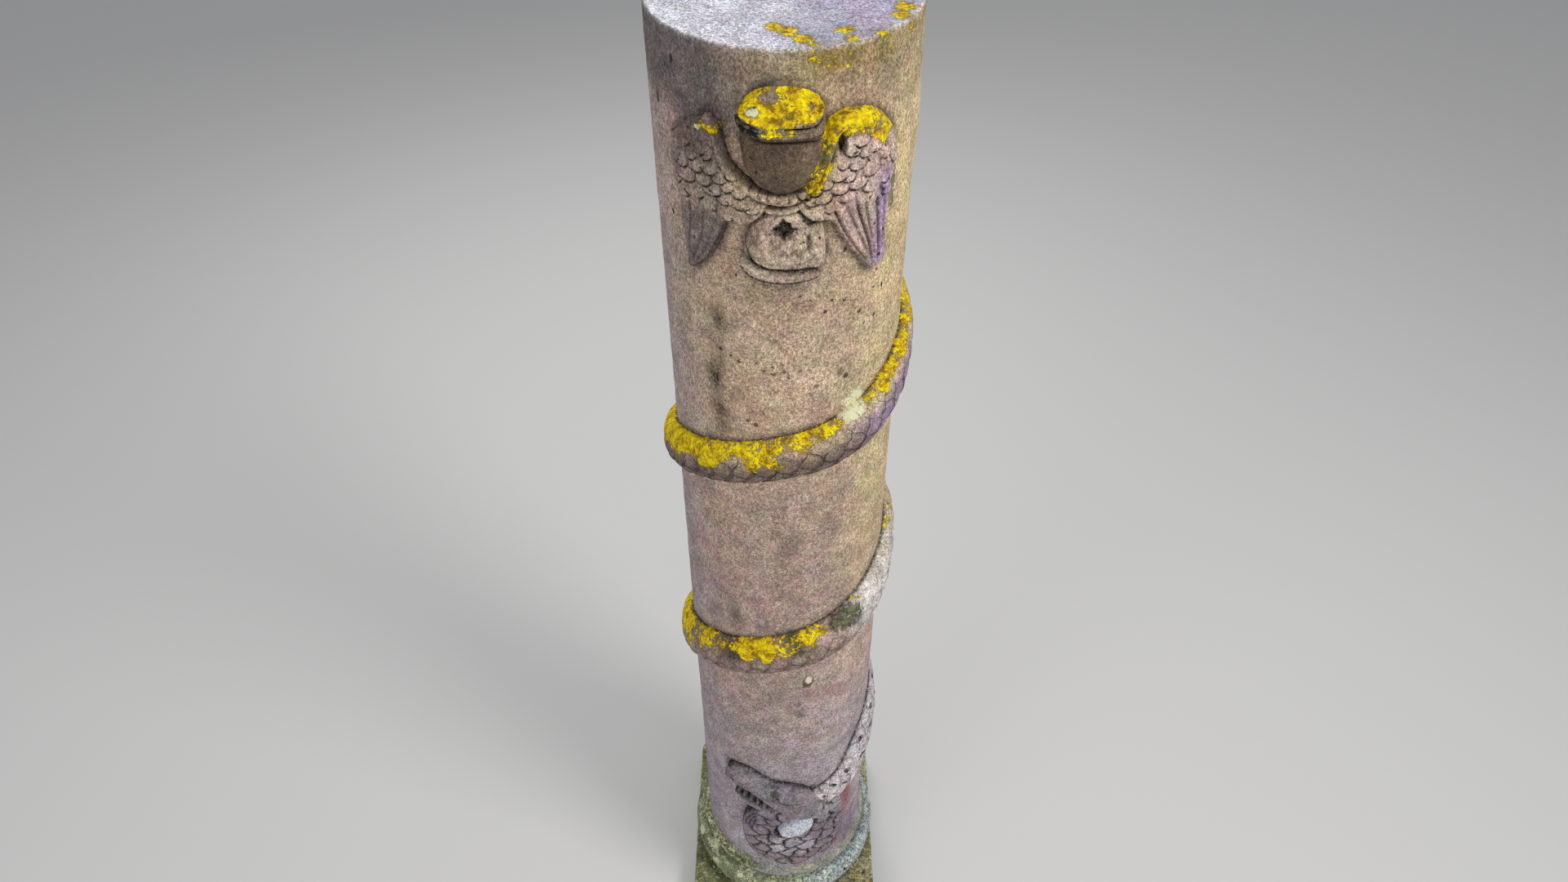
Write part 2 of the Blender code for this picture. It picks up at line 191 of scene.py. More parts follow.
def nearLine(across, height, line, reach):
    # distance to a line on the sheet, the length run to the nearest point, and the side it lies on
    gap = np.full(len(across), float(reach))
    run = np.zeros(len(across))
    side = np.ones(len(across))
    low, high = line[:, :2].min(axis=0) - reach, line[:, :2].max(axis=0) + reach
    window = np.nonzero(
        (across > low[0]) & (across < high[0]) & (height > low[1]) & (height < high[1])
    )[0]
    x, y = across[window], height[window]
    bestGap, bestRun, bestSide = gap[window], run[window], side[window]
    walked = 0
    for (startX, startY), (endX, endY) in zip(line[:-1, :2], line[1:, :2]):
        stepX, stepY = endX - startX, endY - startY
        length = math.hypot(stepX, stepY)
        share = np.clip(((x - startX) * stepX + (y - startY) * stepY) / length ** 2, 0, 1)
        offX, offY = x - startX - share * stepX, y - startY - share * stepY
        away = np.hypot(offX, offY)
        nearer = away < bestGap
        bestGap[nearer] = away[nearer]
        bestRun[nearer] = walked + share[nearer] * length
        bestSide[nearer] = np.sign(stepX * offY - stepY * offX)[nearer]
        walked += length
    gap[window], run[window], side[window] = bestGap, bestRun, bestSide
    return gap, run, side


def insideOutline(across, height, outline, reach=0.03):
    # signed distance to a closed outline, positive inside it
    line, _ = smoothRows(outline, 0.004, closed=True)
    gap, _, _ = nearLine(across, height, line, reach)
    inside = np.zeros(len(across), bool)
    for (startX, startY), (endX, endY) in zip(line[:-1, :2], line[1:, :2]):
        crosses = (startY > height) != (endY > height)
        if startY != endY:
            meets = startX + (height - startY) / (endY - startY) * (endX - startX)
            inside ^= crosses & (across < meets)
    return np.where(inside, gap, -gap)


wallSlope = 3.0     # how steeply a form's wall goes on down into the shaft


def plate(depthIn, proud, edge):
    # a raised sheet with a rounded edge, from the distance inside its outline
    share = np.clip(depthIn / edge, 0, 1)
    top = proud * np.sqrt(1 - (1 - share) ** 2)
    return np.where(depthIn > 0, top, wallSlope * depthIn)


def roll(across, height, rows, power=3.0):
    # a rounded ridge along rows of (angle, height, half width, proud)
    line, where = smoothRows(rows, 0.004)
    gap, run, _ = nearLine(across, height, line, line[:, 2].max() + 0.02)
    width, proud = (np.interp(run, where, line[:, row]) for row in (2, 3))
    share = np.clip(gap / width, 0, 1)
    return np.where(gap < width, proud * (1 - share ** power), wallSlope * (width - gap))


def groove(across, height, points, width, depth):
    line, _ = smoothRows(points, 0.003)
    gap, _, _ = nearLine(across, height, line, 4 * width)
    return depth * bell(gap, 0, width)


def blurred(table, cells):
    # box blur, twice each way
    for axis in (0, 1, 0, 1):
        edge = [(0, 0), (0, 0)]
        edge[axis] = (cells + 1, cells)
        total = np.cumsum(np.pad(table, edge, "edge"), axis=axis)
        size = 2 * cells + 1
        ahead = np.take(total, range(size, total.shape[axis]), axis=axis)
        behind = np.take(total, range(0, total.shape[axis] - size), axis=axis)
        table = (ahead - behind) / size
    return table


# Meshes and pieces

def meshPoints(mesh):
    points = np.empty(len(mesh.vertices) * 3)
    mesh.vertices.foreach_get("co", points)
    return points.reshape(-1, 3)


def movePoints(mesh, points):
    mesh.vertices.foreach_set("co", np.asarray(points, float).ravel())
    mesh.update()


def faceOutwards(mesh):
    bm = bmesh.new()
    bm.from_mesh(mesh)
    bmesh.ops.recalc_face_normals(bm, faces=bm.faces)
    if bm.calc_volume(signed=True) < 0:
        bmesh.ops.reverse_faces(bm, faces=bm.faces)
    bm.to_mesh(mesh)
    bm.free()


def closeHoles(bm):
    rim = [edge for edge in bm.edges if edge.is_boundary]
    made = bmesh.ops.holes_fill(bm, edges=rim, sides=0)
    bmesh.ops.triangulate(bm, faces=made["faces"])


def meshOf(bm, name):
    mesh = bpy.data.meshes.new(name)
    bm.to_mesh(mesh)
    bm.free()
    return mesh


def writeColours(mesh, name, colours):
    layer = mesh.color_attributes.new(name, "FLOAT_COLOR", "POINT")
    values = np.ones((len(mesh.vertices), 4))
    values[:, :colours.shape[1]] = colours
    layer.data.foreach_set("color", values.ravel())


def writePaint(mesh, tint, growths, alpha=None):
    # growths are lichen, dirt and painted shade, pale crust and moss; alpha says how pitted or how scaled the
    # stone is
    lichen, dirtAndShade, pale, moss = growths
    if alpha is not None:
        tint = np.concatenate((tint, alpha[:, None]), axis=1)
    writeColours(mesh, "tint", tint)
    writeColours(mesh, "marks", np.stack((lichen, np.clip(dirtAndShade, 0, 1), pale, moss), axis=-1))


def placePiece(mesh, material, node):
    mesh.shade_smooth()
    mesh.materials.append(material)
    piece = bpy.data.objects.new(mesh.name, mesh)
    bpy.context.scene.collection.objects.link(piece)
    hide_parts(node)
    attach(piece, "root")
    print("made", mesh.name, "with", len(mesh.loop_triangles) or len(mesh.polygons), "faces")
    return piece


# Shader nodes

def addNode(tree, kind, **settings):
    node = tree.nodes.new(kind)
    for name, value in settings.items():
        setattr(node, name, value)
    return node


def feed(tree, socket, value):
    if isinstance(value, bpy.types.NodeSocket):
        tree.links.new(value, socket)
    else:
        socket.default_value = value


def feedAll(tree, sockets, **values):
    for title, value in values.items():
        feed(tree, sockets[title], value)


def noiseOf(tree, vector, scale, detail=4, roughness=0.6, distortion=0, output="Fac"):
    node = addNode(tree, "ShaderNodeTexNoise")
    feedAll(tree, node.inputs, Vector=vector, Scale=scale, Detail=detail)
    feedAll(tree, node.inputs, Roughness=roughness, Distortion=distortion)
    return node.outputs[output]


def cellsOf(tree, vector, scale, feature="F1"):
    node = addNode(tree, "ShaderNodeTexVoronoi", feature=feature)
    feedAll(tree, node.inputs, Vector=vector, Scale=scale)
    return node.outputs


def ranged(tree, value, low, high, toLow=0.0, toHigh=1.0):
    node = addNode(tree, "ShaderNodeMapRange", interpolation_type="SMOOTHSTEP")
    for socket, given in zip(node.inputs, (value, low, high, toLow, toHigh)):
        feed(tree, socket, given)
    return node.outputs["Result"]


def mathOf(tree, operation, first, second=0.0, clamp=False):
    node = addNode(tree, "ShaderNodeMath", operation=operation, use_clamp=clamp)
    feed(tree, node.inputs[0], first)
    feed(tree, node.inputs[1], second)
    return node.outputs[0]


def times(tree, first, second, clamp=False):
    return mathOf(tree, "MULTIPLY", first, second, clamp)


def plus(tree, first, second, share=None):
    # first + second, or first + share * second
    if share is not None:
        second = times(tree, second, share)
    return mathOf(tree, "ADD", first, second)


def vectorOf(tree, operation, *values):
    node = addNode(tree, "ShaderNodeVectorMath", operation=operation)
    for socket, value in zip(node.inputs, values):
        feed(tree, socket, value)
    return node.outputs["Value" if operation == "DISTANCE" else "Vector"]


def mixOf(tree, share, first, second, kind="MIX"):
    node = addNode(tree, "ShaderNodeMix", data_type="RGBA", blend_type=kind)
    for index, value in ((0, share), (6, first), (7, second)):
        if not isinstance(value, bpy.types.NodeSocket) and index:
            value = (*value, 1.0)
        feed(tree, node.inputs[index], value)
    return node.outputs[2]


def coat(tree, colour, share, paint):
    return mixOf(tree, share, colour, tone(*paint))


def newGroup(name, amounts, results):
    # a node group that takes a place and amounts, and gives amounts
    group = bpy.data.node_groups.new(name, "ShaderNodeTree")
    group.interface.new_socket(name="Vector", in_out="INPUT", socket_type="NodeSocketVector")
    for kind, titles in (("INPUT", amounts), ("OUTPUT", results)):
        for title in titles:
            group.interface.new_socket(name=title, in_out=kind, socket_type="NodeSocketFloat")
    return group, addNode(group, "NodeGroupInput").outputs, addNode(group, "NodeGroupOutput").inputs


def makeStoneGrain():
    # quarry grain: dark and pale speckle, cloudy shade, and small weather pits
    group, given, out = newGroup("stoneGrain", ("Size",), ("Shade", "Dark", "Pale", "Pits", "Height"))
    vector, size = given["Vector"], given["Size"]
    stretched = vectorOf(group, "MULTIPLY", vector, (1.0, 1.0, 0.76))
    fine, coarse, blotch, broad = (
        noiseOf(group, place, times(group, size, scale), *settings)
        for place, scale, *settings in (
            (stretched, 560, 2, 0.5), (stretched, 240, 3, 0.6, 0.3),
            (vector, 34, 5, 0.65), (vector, 7, 3, 0.5))
    )
    grains = plus(group, times(group, fine, 0.6), coarse, 0.4)
    wander = noiseOf(group, vector, 130, 2, 0.5, output="Color")
    bent = vectorOf(group, "MULTIPLY_ADD", wander, (0.011, 0.011, 0.007), vector)
    cells = cellsOf(group, bent, times(group, size, 78))
    chosen = ranged(group, cells["Color"], 0.42, 0.62)
    shade = ranged(group, fine, 0.32, 0.68, 0.8, 1.2)
    for noise, low, high, darkest, palest in (
        (coarse, 0.34, 0.66, 0.84, 1.15), (blotch, 0.34, 0.66, 0.78, 1.14), (broad, 0.35, 0.65, 0.94, 1.05),
    ):
        shade = times(group, shade, ranged(group, noise, low, high, darkest, palest))
    feedAll(
        group, out, Shade=shade,
        Dark=ranged(group, grains, 0.51, 0.39),
        Pale=ranged(group, grains, 0.52, 0.64),
        Pits=times(group, ranged(group, cells["Distance"], 0.22, 0.08), chosen),
        Height=plus(group, times(group, coarse, 0.9), fine, 0.3),
    )
    return group


def makeCrust():
    # turns a soft painted amount into a growth with a crusty edge
    group, given, out = newGroup("crust", ("Amount", "Size"), ("Mask", "Film", "Blotch", "Height"))
    edge, fray, blotch, lumps = (
        noiseOf(group, given["Vector"], times(group, given["Size"], scale), *settings)
        for scale, *settings in ((62, 6, 0.74, 0.5), (260, 4, 0.75), (34, 4, 0.6), (380, 3, 0.7))
    )
    level = plus(group, given["Amount"], plus(group, edge, -0.5), 1.9)
    level = plus(group, level, plus(group, fray, -0.5))
    mask = ranged(group, level, 0.48, 0.58)
    height = times(group, mask, ranged(group, lumps, 0.3, 0.7, 0.2, 1.0))
    feedAll(group, out, Mask=mask, Film=ranged(group, level, 0.26, 0.5), Blotch=blotch, Height=height)
    return group


groups = {"grain": makeStoneGrain(), "crust": makeCrust()}
print("made the grain and the crust")


def useGroup(tree, name, **values):
    node = addNode(tree, "ShaderNodeGroup", node_tree=groups[name])
    feedAll(tree, node.inputs, **values)
    return node.outputs


finishes = {
    "weatheredSandstone": {
        "darkGrain": (66, 52, 46), "darkShare": 0.34, "paleGrain": (1.7, 1.7, 1.7), "paleShare": 0.4,
        "grainSize": 1.0, "dirtAndShade": (26, 23, 24), "moss": (84, 90, 38), "bump": 0.0012,
    },
    "mossyBaseStone": {
        "darkGrain": (58, 62, 46), "darkShare": 0.6, "paleGrain": (1.7, 1.75, 1.65), "paleShare": 0.55,
        "grainSize": 0.5, "dirtAndShade": (30, 32, 24), "moss": (92, 100, 70), "bump": 0.0018,
    },
}
growthTones = {
    "brightLichen": (255, 232, 6), "deepLichen": (226, 186, 10), "rustLichen": (118, 88, 18),
    "oliveFilm": (118, 102, 44),
    "creamCrust": (255, 255, 214), "greenishCrust": (252, 248, 200), "crustCrack": (88, 84, 58),
    "paleMoss": (140, 146, 104), "scaleLine": (46, 36, 32), "pit": (52, 44, 40),
}

# small marks: angle, height, proud, size, how many times taller than wide, colour and share
smallMarks = [
    (-31.2, 0.984, 0, 0.013, 2.4, (112, 102, 110), 0.4),
    (-41.5, 0.955, 0, 0.013, 2.0, (118, 110, 116), 0.34), (-12.4, 0.966, 0, 0.014, 1.5, (104, 92, 102), 0.5),
    (-12.8, 0.972, 0, 0.0052, 1.2, (184, 168, 158), 0.8), (14.7, 0.8115, 0, 0.0108, 1.55, (84, 62, 50), 0.9),
    (14.9, 0.816, 0, 0.0068, 1.5, (240, 224, 200), 0.95), (14.0, 0.78, 0, 0.009, 1.8, (110, 98, 104), 0.45),
    (-56.3, 1.654, 0, 0.0026, 2.0, (30, 26, 28), 0.9), (-49.3, 1.8424, 0, 0.0028, 1.5, (34, 30, 36), 0.85),
    (-63.1, 1.784, 0, 0.004, 1.8, (44, 38, 44), 0.8), (-52.2, 1.739, 0, 0.002, 1.6, (40, 34, 36), 0.8),
    (26.7, 1.6358, 0, 0.0026, 1.2, (40, 32, 30), 0.9), (49.8, 1.562, 0, 0.0028, 1.4, (44, 36, 30), 0.9),
    (45.4, 1.59, 0, 0.0022, 1.4, (50, 40, 34), 0.8), (-21.0, 1.606, 0, 0.0018, 1.4, (40, 34, 32), 0.8),
    (-6.8, 0.508, 0.012, 0.0042, 3.0, (66, 62, 50), 0.65),
    (-6.5, 0.498, 0.022, 0.005, 2.6, (74, 70, 54), 0.5),
    (-4.2, 0.502, 0.012, 0.004, 1.3, (52, 46, 44), 0.65),
    (-4.6, 0.494, 0.022, 0.0055, 2.2, (70, 64, 54), 0.5),
    (-11.3, 0.5175, 0.022, 0.005, 1.5, (60, 54, 58), 0.75),
    (20.2, 0.474, 0.006, 0.0085, 1.0, (40, 34, 40), 0.85),
    (24.9, 0.459, 0.008, 0.006, 1.2, (50, 42, 48), 0.75),
    (26.5, 0.4575, 0.022, 0.0042, 2.2, (60, 50, 58), 0.75),
    (31.1, 0.3826, 0.022, 0.006, 1.4, (46, 40, 46), 0.75),
    (27.2, 0.432, 0.022, 0.004, 1.8, (64, 54, 60), 0.65),
    (-37.0, 0.523, 0.006, 0.0085, 1.3, (52, 46, 54), 0.8),
    (-38.4, 0.505, 0.008, 0.0042, 3.0, (60, 54, 64), 0.7), (-9.2, 1.471, 0, 0.003, 0.8, (66, 56, 50), 0.8),
    (-4.8, 1.467, 0, 0.0036, 0.7, (72, 60, 54), 0.75), (0.1, 1.471, 0, 0.004, 0.6, (64, 54, 48), 0.8),
    (7.3, 1.4716, 0, 0.003, 0.8, (76, 64, 56), 0.75), (-17.4, 1.385, 0, 0.0034, 0.9, (62, 52, 48), 0.8),
    (-13.6, 1.38, 0, 0.004, 0.9, (58, 48, 44), 0.8), (15.1, 1.4447, 0, 0.0034, 0.9, (92, 80, 66), 0.75),
    (26.9, 1.4571, 0, 0.006, 1.4, (98, 88, 70), 0.6), (2.0, 1.465, 0, 0.002, 3.5, (84, 72, 62), 0.6),
]
smallPits = (
    (18.6, 1.556, 0.0028), (21.5, 1.571, 0.002), (27.4, 1.566, 0.0022), (35.9, 1.541, 0.0026),
    (45.3, 1.525, 0.003), (7.0, 1.583, 0.0018), (43.7, 1.567, 0.002), (39.1, 1.521, 0.0018),
    (-21.0, 1.48, 0.0032), (-24.9, 1.486, 0.002), (-30.3, 1.491, 0.003), (2.3, 1.461, 0.0018),
    (30.0, 1.45, 0.004), (8.2, 1.499, 0.0016),
)
# the small pits are painted dark: dirt and painted shade in them
smallMarks += [(angle, height, 0, size, 1.1, growthTones["pit"], 0.85) for angle, height, size in smallPits]


def addMarks(tree, place, colour):
    wander = plus(tree, noiseOf(tree, place, 150, 3, 0.65), -0.5)
    for angle, height, proud, size, tall, paint, share in smallMarks:
        flat = (1, 1, 1 / tall)
        middle = bend(arc(angle), height, proud) * flat
        away = vectorOf(tree, "DISTANCE", vectorOf(tree, "MULTIPLY", place, flat), middle)
        reach = plus(tree, away, wander, 1.6 * size)
        colour = coat(tree, colour, ranged(tree, reach, 1.15 * size, 0.65 * size, 0.0, share), paint)
    return colour


def addScaleNet(tree, place, plainness):
    # the net of scale edges, drawn in the piece's own map
    parts = addNode(tree, "ShaderNodeSeparateXYZ")
    feed(tree, parts.inputs[0], addNode(tree, "ShaderNodeUVMap", uv_map="scaleNet").outputs["UV"])
    waver = noiseOf(tree, place, 46, 2, 0.5)
    lines = [mathOf(tree, "PINGPONG", plus(tree, part, waver, 0.22), 0.5) for part in parts.outputs[:2]]
    cut = ranged(tree, mathOf(tree, "MINIMUM", *lines), 0.045, 0.008)
    worn = ranged(tree, noiseOf(tree, place, 30, 4, 0.65), 0.36, 0.52, 0.25, 1.0)
    return times(tree, times(tree, cut, worn), plainness)


def stoneMaterial(name, finish, scaled=False, marked=False):
    # marks holds lichen, dirt and painted shade, pale crust and moss; tint's alpha says how pitted or how
    # scaled the stone is
    material = bpy.data.materials.new(name)
    material.use_nodes = True
    tree = material.node_tree
    shader = tree.nodes["Principled BSDF"]
    place = addNode(tree, "ShaderNodeTexCoord").outputs["Object"]
    tint, marks = (
        addNode(tree, "ShaderNodeAttribute", attribute_name=layer).outputs for layer in ("tint", "marks"))
    split = addNode(tree, "ShaderNodeSeparateColor")
    feed(tree, split.inputs[0], marks["Color"])
    lichen, dirtAndShade, pale = split.outputs

    grain = useGroup(tree, "grain", Vector=place, Size=finish["grainSize"])
    colour = mixOf(tree, 1.0, tint["Color"], grain["Shade"], "MULTIPLY")
    lighter = mixOf(tree, 1.0, colour, finish["paleGrain"], "MULTIPLY")
    colour = mixOf(tree, times(tree, grain["Pale"], finish["paleShare"]), colour, lighter)
    colour = coat(tree, colour, times(tree, grain["Dark"], finish["darkShare"]), finish["darkGrain"])
    colour = mixOf(tree, 0.28, colour, noiseOf(tree, place, 26, 5, 0.7, output="Color"), "OVERLAY")
    pits = times(tree, grain["Pits"], times(tree, tint["Alpha"], 0.25 if scaled else 1.0))
    # pits are darkened: dirt and painted shade in them
    colour = coat(tree, colour, times(tree, pits, 0.95), finish["dirtAndShade"])
    height = plus(tree, grain["Height"], pits, -1.2)
    if scaled:
        cut = addScaleNet(tree, place, tint["Alpha"])
        # the net's lines are painted dark: painted shade in the grooves between the scales
        colour = coat(tree, colour, times(tree, cut, 0.85), growthTones["scaleLine"])
        height = plus(tree, height, cut, -1.2)
    if marked:
        colour = addMarks(tree, place, colour)
    # dirt and painted shade from the marks attribute, broken up by noise
    veil = ranged(tree, noiseOf(tree, place, 210, 5, 0.75), 0.34, 0.6, 0.5, 1.15)
    colour = coat(tree, colour, times(tree, dirtAndShade, veil, clamp=True), finish["dirtAndShade"])

    growths = green, white, yellow = [
        useGroup(tree, "crust", Vector=place, Amount=amount, Size=size)
        for amount, size in ((marks["Alpha"], 1.6), (pale, 2.2), (lichen, 1.0))
    ]
    paler = ranged(tree, green["Blotch"], 0.35, 0.65)
    mossTone = coat(tree, tone(*finish["moss"]), paler, growthTones["paleMoss"])
    colour = mixOf(tree, times(tree, green["Mask"], 0.85), colour, mossTone)

    greenish = ranged(tree, white["Blotch"], 0.4, 0.6)
    whiteTone = coat(tree, tone(*growthTones["creamCrust"]), greenish, growthTones["greenishCrust"])
    cracks = cellsOf(tree, place, 110, "DISTANCE_TO_EDGE")["Distance"]
    opened = ranged(tree, noiseOf(tree, place, 50, 3, 0.6), 0.48, 0.58, 0.0, 0.75)
    cracked = times(tree, ranged(tree, cracks, 0.07, 0.02), opened)
    whiteTone = coat(tree, whiteTone, cracked, growthTones["crustCrack"])
    colour = mixOf(tree, times(tree, white["Mask"], 0.92), colour, whiteTone)

    turns = noiseOf(tree, place, 70, 6, 0.75, 0.4)
    bright = ranged(tree, turns, 0.47, 0.59)
    lichenTone = coat(tree, tone(*growthTones["deepLichen"]), bright, growthTones["brightLichen"])
    lichenTone = coat(tree, lichenTone, ranged(tree, turns, 0.48, 0.39, 0.0, 0.8), growthTones["rustLichen"])
    granules = ranged(tree, noiseOf(tree, place, 260, 3, 0.6), 0.38, 0.6, 0.74, 1.22)
    lichenTone = mixOf(tree, 1.0, lichenTone, granules, "MULTIPLY")
    halo = times(tree, yellow["Film"], ranged(tree, lichen, 0.12, 0.4, 0.0, 0.72))
    colour = coat(tree, colour, halo, growthTones["oliveFilm"])
    colour = mixOf(tree, times(tree, yellow["Mask"], 0.96), colour, lichenTone)

    for growth, share in zip(growths, (0.5, 0.5, 0.55)):
        height = plus(tree, height, growth["Height"], share)
    bump = addNode(tree, "ShaderNodeBump")
    feedAll(tree, bump.inputs, Strength=0.9, Distance=finish["bump"], Height=height)
    roughness = ranged(tree, grain["Shade"], 0.8, 1.2, 0.96, 0.84)
    feedAll(tree, shader.inputs, Normal=bump.outputs["Normal"], Roughness=roughness)
    feed(tree, shader.inputs["Base Color"], colour)
    feed(tree, shader.inputs["Specular IOR Level"], 0.25)
    return material


sandstone = stoneMaterial("weathered_sandstone", finishes["weatheredSandstone"], marked=True)
scaledStone = stoneMaterial("scaled_sandstone", finishes["weatheredSandstone"], scaled=True, marked=True)
baseStone = stoneMaterial("mossy_base_stone", finishes["mossyBaseStone"])
print("made the stone finishes")


# The serpent's course down the shaft: angle turned, height, half width and proud

serpent = {
    "course": [
        (262, 1.578, 0.006, 0.003), (225, 1.551, 0.017, 0.009), (180, 1.515, 0.026, 0.015),
        (130, 1.47, 0.031, 0.018), (83, 1.418, 0.035, 0.019), (45, 1.366, 0.0385, 0.021),
        (20, 1.344, 0.0355, 0.021), (0, 1.332, 0.0335, 0.0205), (-44, 1.29, 0.0325, 0.02),
        (-83, 1.243, 0.0335, 0.0195), (-180, 1.126, 0.036, 0.022), (-277, 1.011, 0.041, 0.021),
        (-315, 0.95, 0.045, 0.0225), (-340, 0.922, 0.043, 0.023), (-360, 0.906, 0.04, 0.023),
        (-410, 0.85, 0.038, 0.022), (-443, 0.8, 0.04, 0.021), (-540, 0.668, 0.036, 0.017),
        (-600, 0.614, 0.032, 0.011), (-630, 0.592, 0.031, 0.012), (-646, 0.566, 0.032, 0.017),
        (-660, 0.523, 0.032, 0.021), (-673, 0.468, 0.031, 0.021), (-688, 0.443, 0.03, 0.02),
        (-704, 0.428, 0.03, 0.018),
    ],
    "ringGap": 0.00185,
    "archSides": 46,
    "baseSides": 6,
    "sectionPower": 2.35,
    "scaleLength": 0.028,
    "scaleWidth": 0.025,
}


def serpentGap(angle, height):
    # how far a point of the shaft is from the serpent's body, negative under it
    line, _ = smoothRows(serpent["course"], 0.004)
    turned, middles, widths, _ = line[::-1].T
    turned = angleOf(turned)
    best = np.full(len(angle), 1.0)
    for turns in (-720, -360, 0, 360):
        place = angle + turns
        within = (place > turned[0]) & (place < turned[-1])
        gap = np.abs(height - np.interp(place, turned, middles)) * 0.9 - np.interp(place, turned, widths)
        best = np.where(within & (gap < best), gap, best)
    return best


# The stone's own colours over the column

stoneTones = {
    "warmTan": (198, 172, 146),
    "pinkTan": (176, 152, 140),
    "greyLilac": (166, 156, 163),
    "olive": (222, 199, 150),
    "soot": (104, 97, 104),
    "soil": (168, 150, 118),
    "violet": (178, 150, 186),
}


def stoneTint(points, angle, height):
    drift = 0.5 * cloud(points, 0.09, 3) + 0.5 * cloud(points, 0.035, 4)
    streak = cloud(points * (1, 1, 0.12), 0.014, 5)
    uneven = height + 0.05 * drift
    colour = glaze(
        np.tile(tone(*stoneTones["warmTan"]), (len(points), 1)),
        (stoneTones["pinkTan"], 0.9 * smooth(uneven, 1.42, 1.1)),
        (stoneTones["greyLilac"], 0.85 * smooth(uneven, 0.9, 0.46)),
    )
    lowRight = smooth(height, 1.02, 0.9) * span(angle, 8, 40, 100, 150)
    colour *= 1 + 0.2 * lowRight[:, None]
    rightSide = smooth(angle + 10 * drift, 22, 58) * smooth(angle, 150, 100)
    band = smooth(height + 0.022 * drift + 0.012 * streak, 1.765, 1.815)
    leftShare = smooth(angle + 14 * drift, 12, -32) * smooth(angle + 10 * drift, -168, -125)
    colour = glaze(
        colour,
        (stoneTones["greyLilac"], 0.62 * smooth(np.abs(angle + 100 + 12 * drift), 70, 25)),
        (stoneTones["greyLilac"], 0.45 * smooth(np.abs(angle) + 14 * drift, 120, 165)),
        (stoneTones["olive"], 0.7 * rightSide * smooth(height, 0.85, 1.2)),
        (stoneTones["soil"], 0.8 * band),
        (stoneTones["soot"], 0.82 * band * leftShare),
    )
    return colour * (1 + 0.05 * streak + 0.06 * drift)[:, None]


# angle, height, size and share of the dark spots
darkSpots = (
    (-31.3, 1.535, 0.012, 0.7), (-34.0, 1.443, 0.013, 0.95), (-31.8, 1.392, 0.012, 0.75),
    (-31.5, 1.363, 0.011, 0.65), (-13, 1.357, 0.006, 0.5), (-4, 1.35, 0.005, 0.4), (2, 1.152, 0.014, 0.4),
    (-28, 0.968, 0.012, 0.45), (9, 0.75, 0.006, 0.6), (10, 0.718, 0.009, 0.5),
)


def columnStains(points, angle, height):
    # dark water marks on the shaft
    drift = cloud(points, 0.018, 7)
    run = 0.42 * bell(angle, -32.5 + 2 * drift, 4.5) * span(height, 1.33, 1.37, 1.5, 1.57)
    dirtAndShade = np.maximum(run, 0.16 * bell(angle, -2, 20) * bell(height, 1.575, 0.05))
    for spotAngle, spotHeight, size, share in darkSpots:
        away = np.hypot(arc(angle - spotAngle), (height - spotHeight) * 0.6)
        dirtAndShade = np.maximum(dirtAndShade, share * bell(away, 0, size * (1 + 0.4 * drift)))
    return np.clip(dirtAndShade, 0, 1)


# Relief pieces are a fine grid on the carver's sheet, closed behind

def weathered(form, across, height, rough):
    # a carved form with rough faces, cut off a little inside the shaft
    points = bend(across, height, np.zeros(len(across)))
    (fineDepth, fineCell, fineSeed), (broadDepth, broadCell, broadSeed) = rough
    faces = fineDepth * grit(points, fineCell, 3, fineSeed) + broadDepth * cloud(points, broadCell, broadSeed)
    return np.maximum(np.where(form > 0.0005, form + faces, form), -0.004)


def reliefGrid(name, piece, carve):
    # the mesh, each point's place on the sheet and proud of the shaft, and what hollowness gives for it
    left, right, low, high = piece["window"]
    left, right = arc(left), arc(right)
    bm = bmesh.new()
    columns, rows = (int(length / piece["spacing"]) for length in (right - left, high - low))
    bmesh.ops.create_grid(bm, x_segments=columns, y_segments=rows, size=0.5)
    gridCount = len(bm.verts)
    ends = [
        edge for edge in bm.edges
        if edge.is_boundary and abs(edge.verts[0].co.y - edge.verts[1].co.y) < 1e-6
    ]
    made = bmesh.ops.extrude_edge_only(bm, edges=ends)["geom"]
    bmesh.ops.bridge_loops(bm, edges=[part for part in made if isinstance(part, bmesh.types.BMEdge)])
    closeHoles(bm)
    mesh = meshOf(bm, name)
    points = meshPoints(mesh)
    across = left + (points[:, 0] + 0.5) * (right - left)
    height = low + (points[:, 1] + 0.5) * (high - low)
    front = slice(gridCount)
    proud = np.full(len(points), -0.03)
    form = carve(across[front], height[front])
    proud[front] = weathered(form, across[front], height[front], piece["rough"])
    movePoints(mesh, bend(across, height, proud))
    faceOutwards(mesh)
    gridX, gridY, _ = points[front].round(6).T
    order = np.lexsort((gridX, gridY))
    width = len(np.unique(gridX))
    hollows = [hollowness(proud, order, width, *reach) for reach in piece["hollows"]]
    return mesh, across, height, proud, hollows


def hollowness(proud, order, width, cells, depth):
    # how far each point lies below its neighbourhood, and how much it faces up
    table = proud[order].reshape(-1, width)
    below = (blurred(table, cells) - table) / depth
    fall = np.gradient(table, axis=0)
    result = np.zeros((2, len(proud)))
    result[0, order] = blurred(np.clip(below, 0, 1), 1).ravel()
    result[1, order] = -fall.ravel()
    return result


# The winged hourglass: places are (angle, height), worked from the front, to the viewer's right

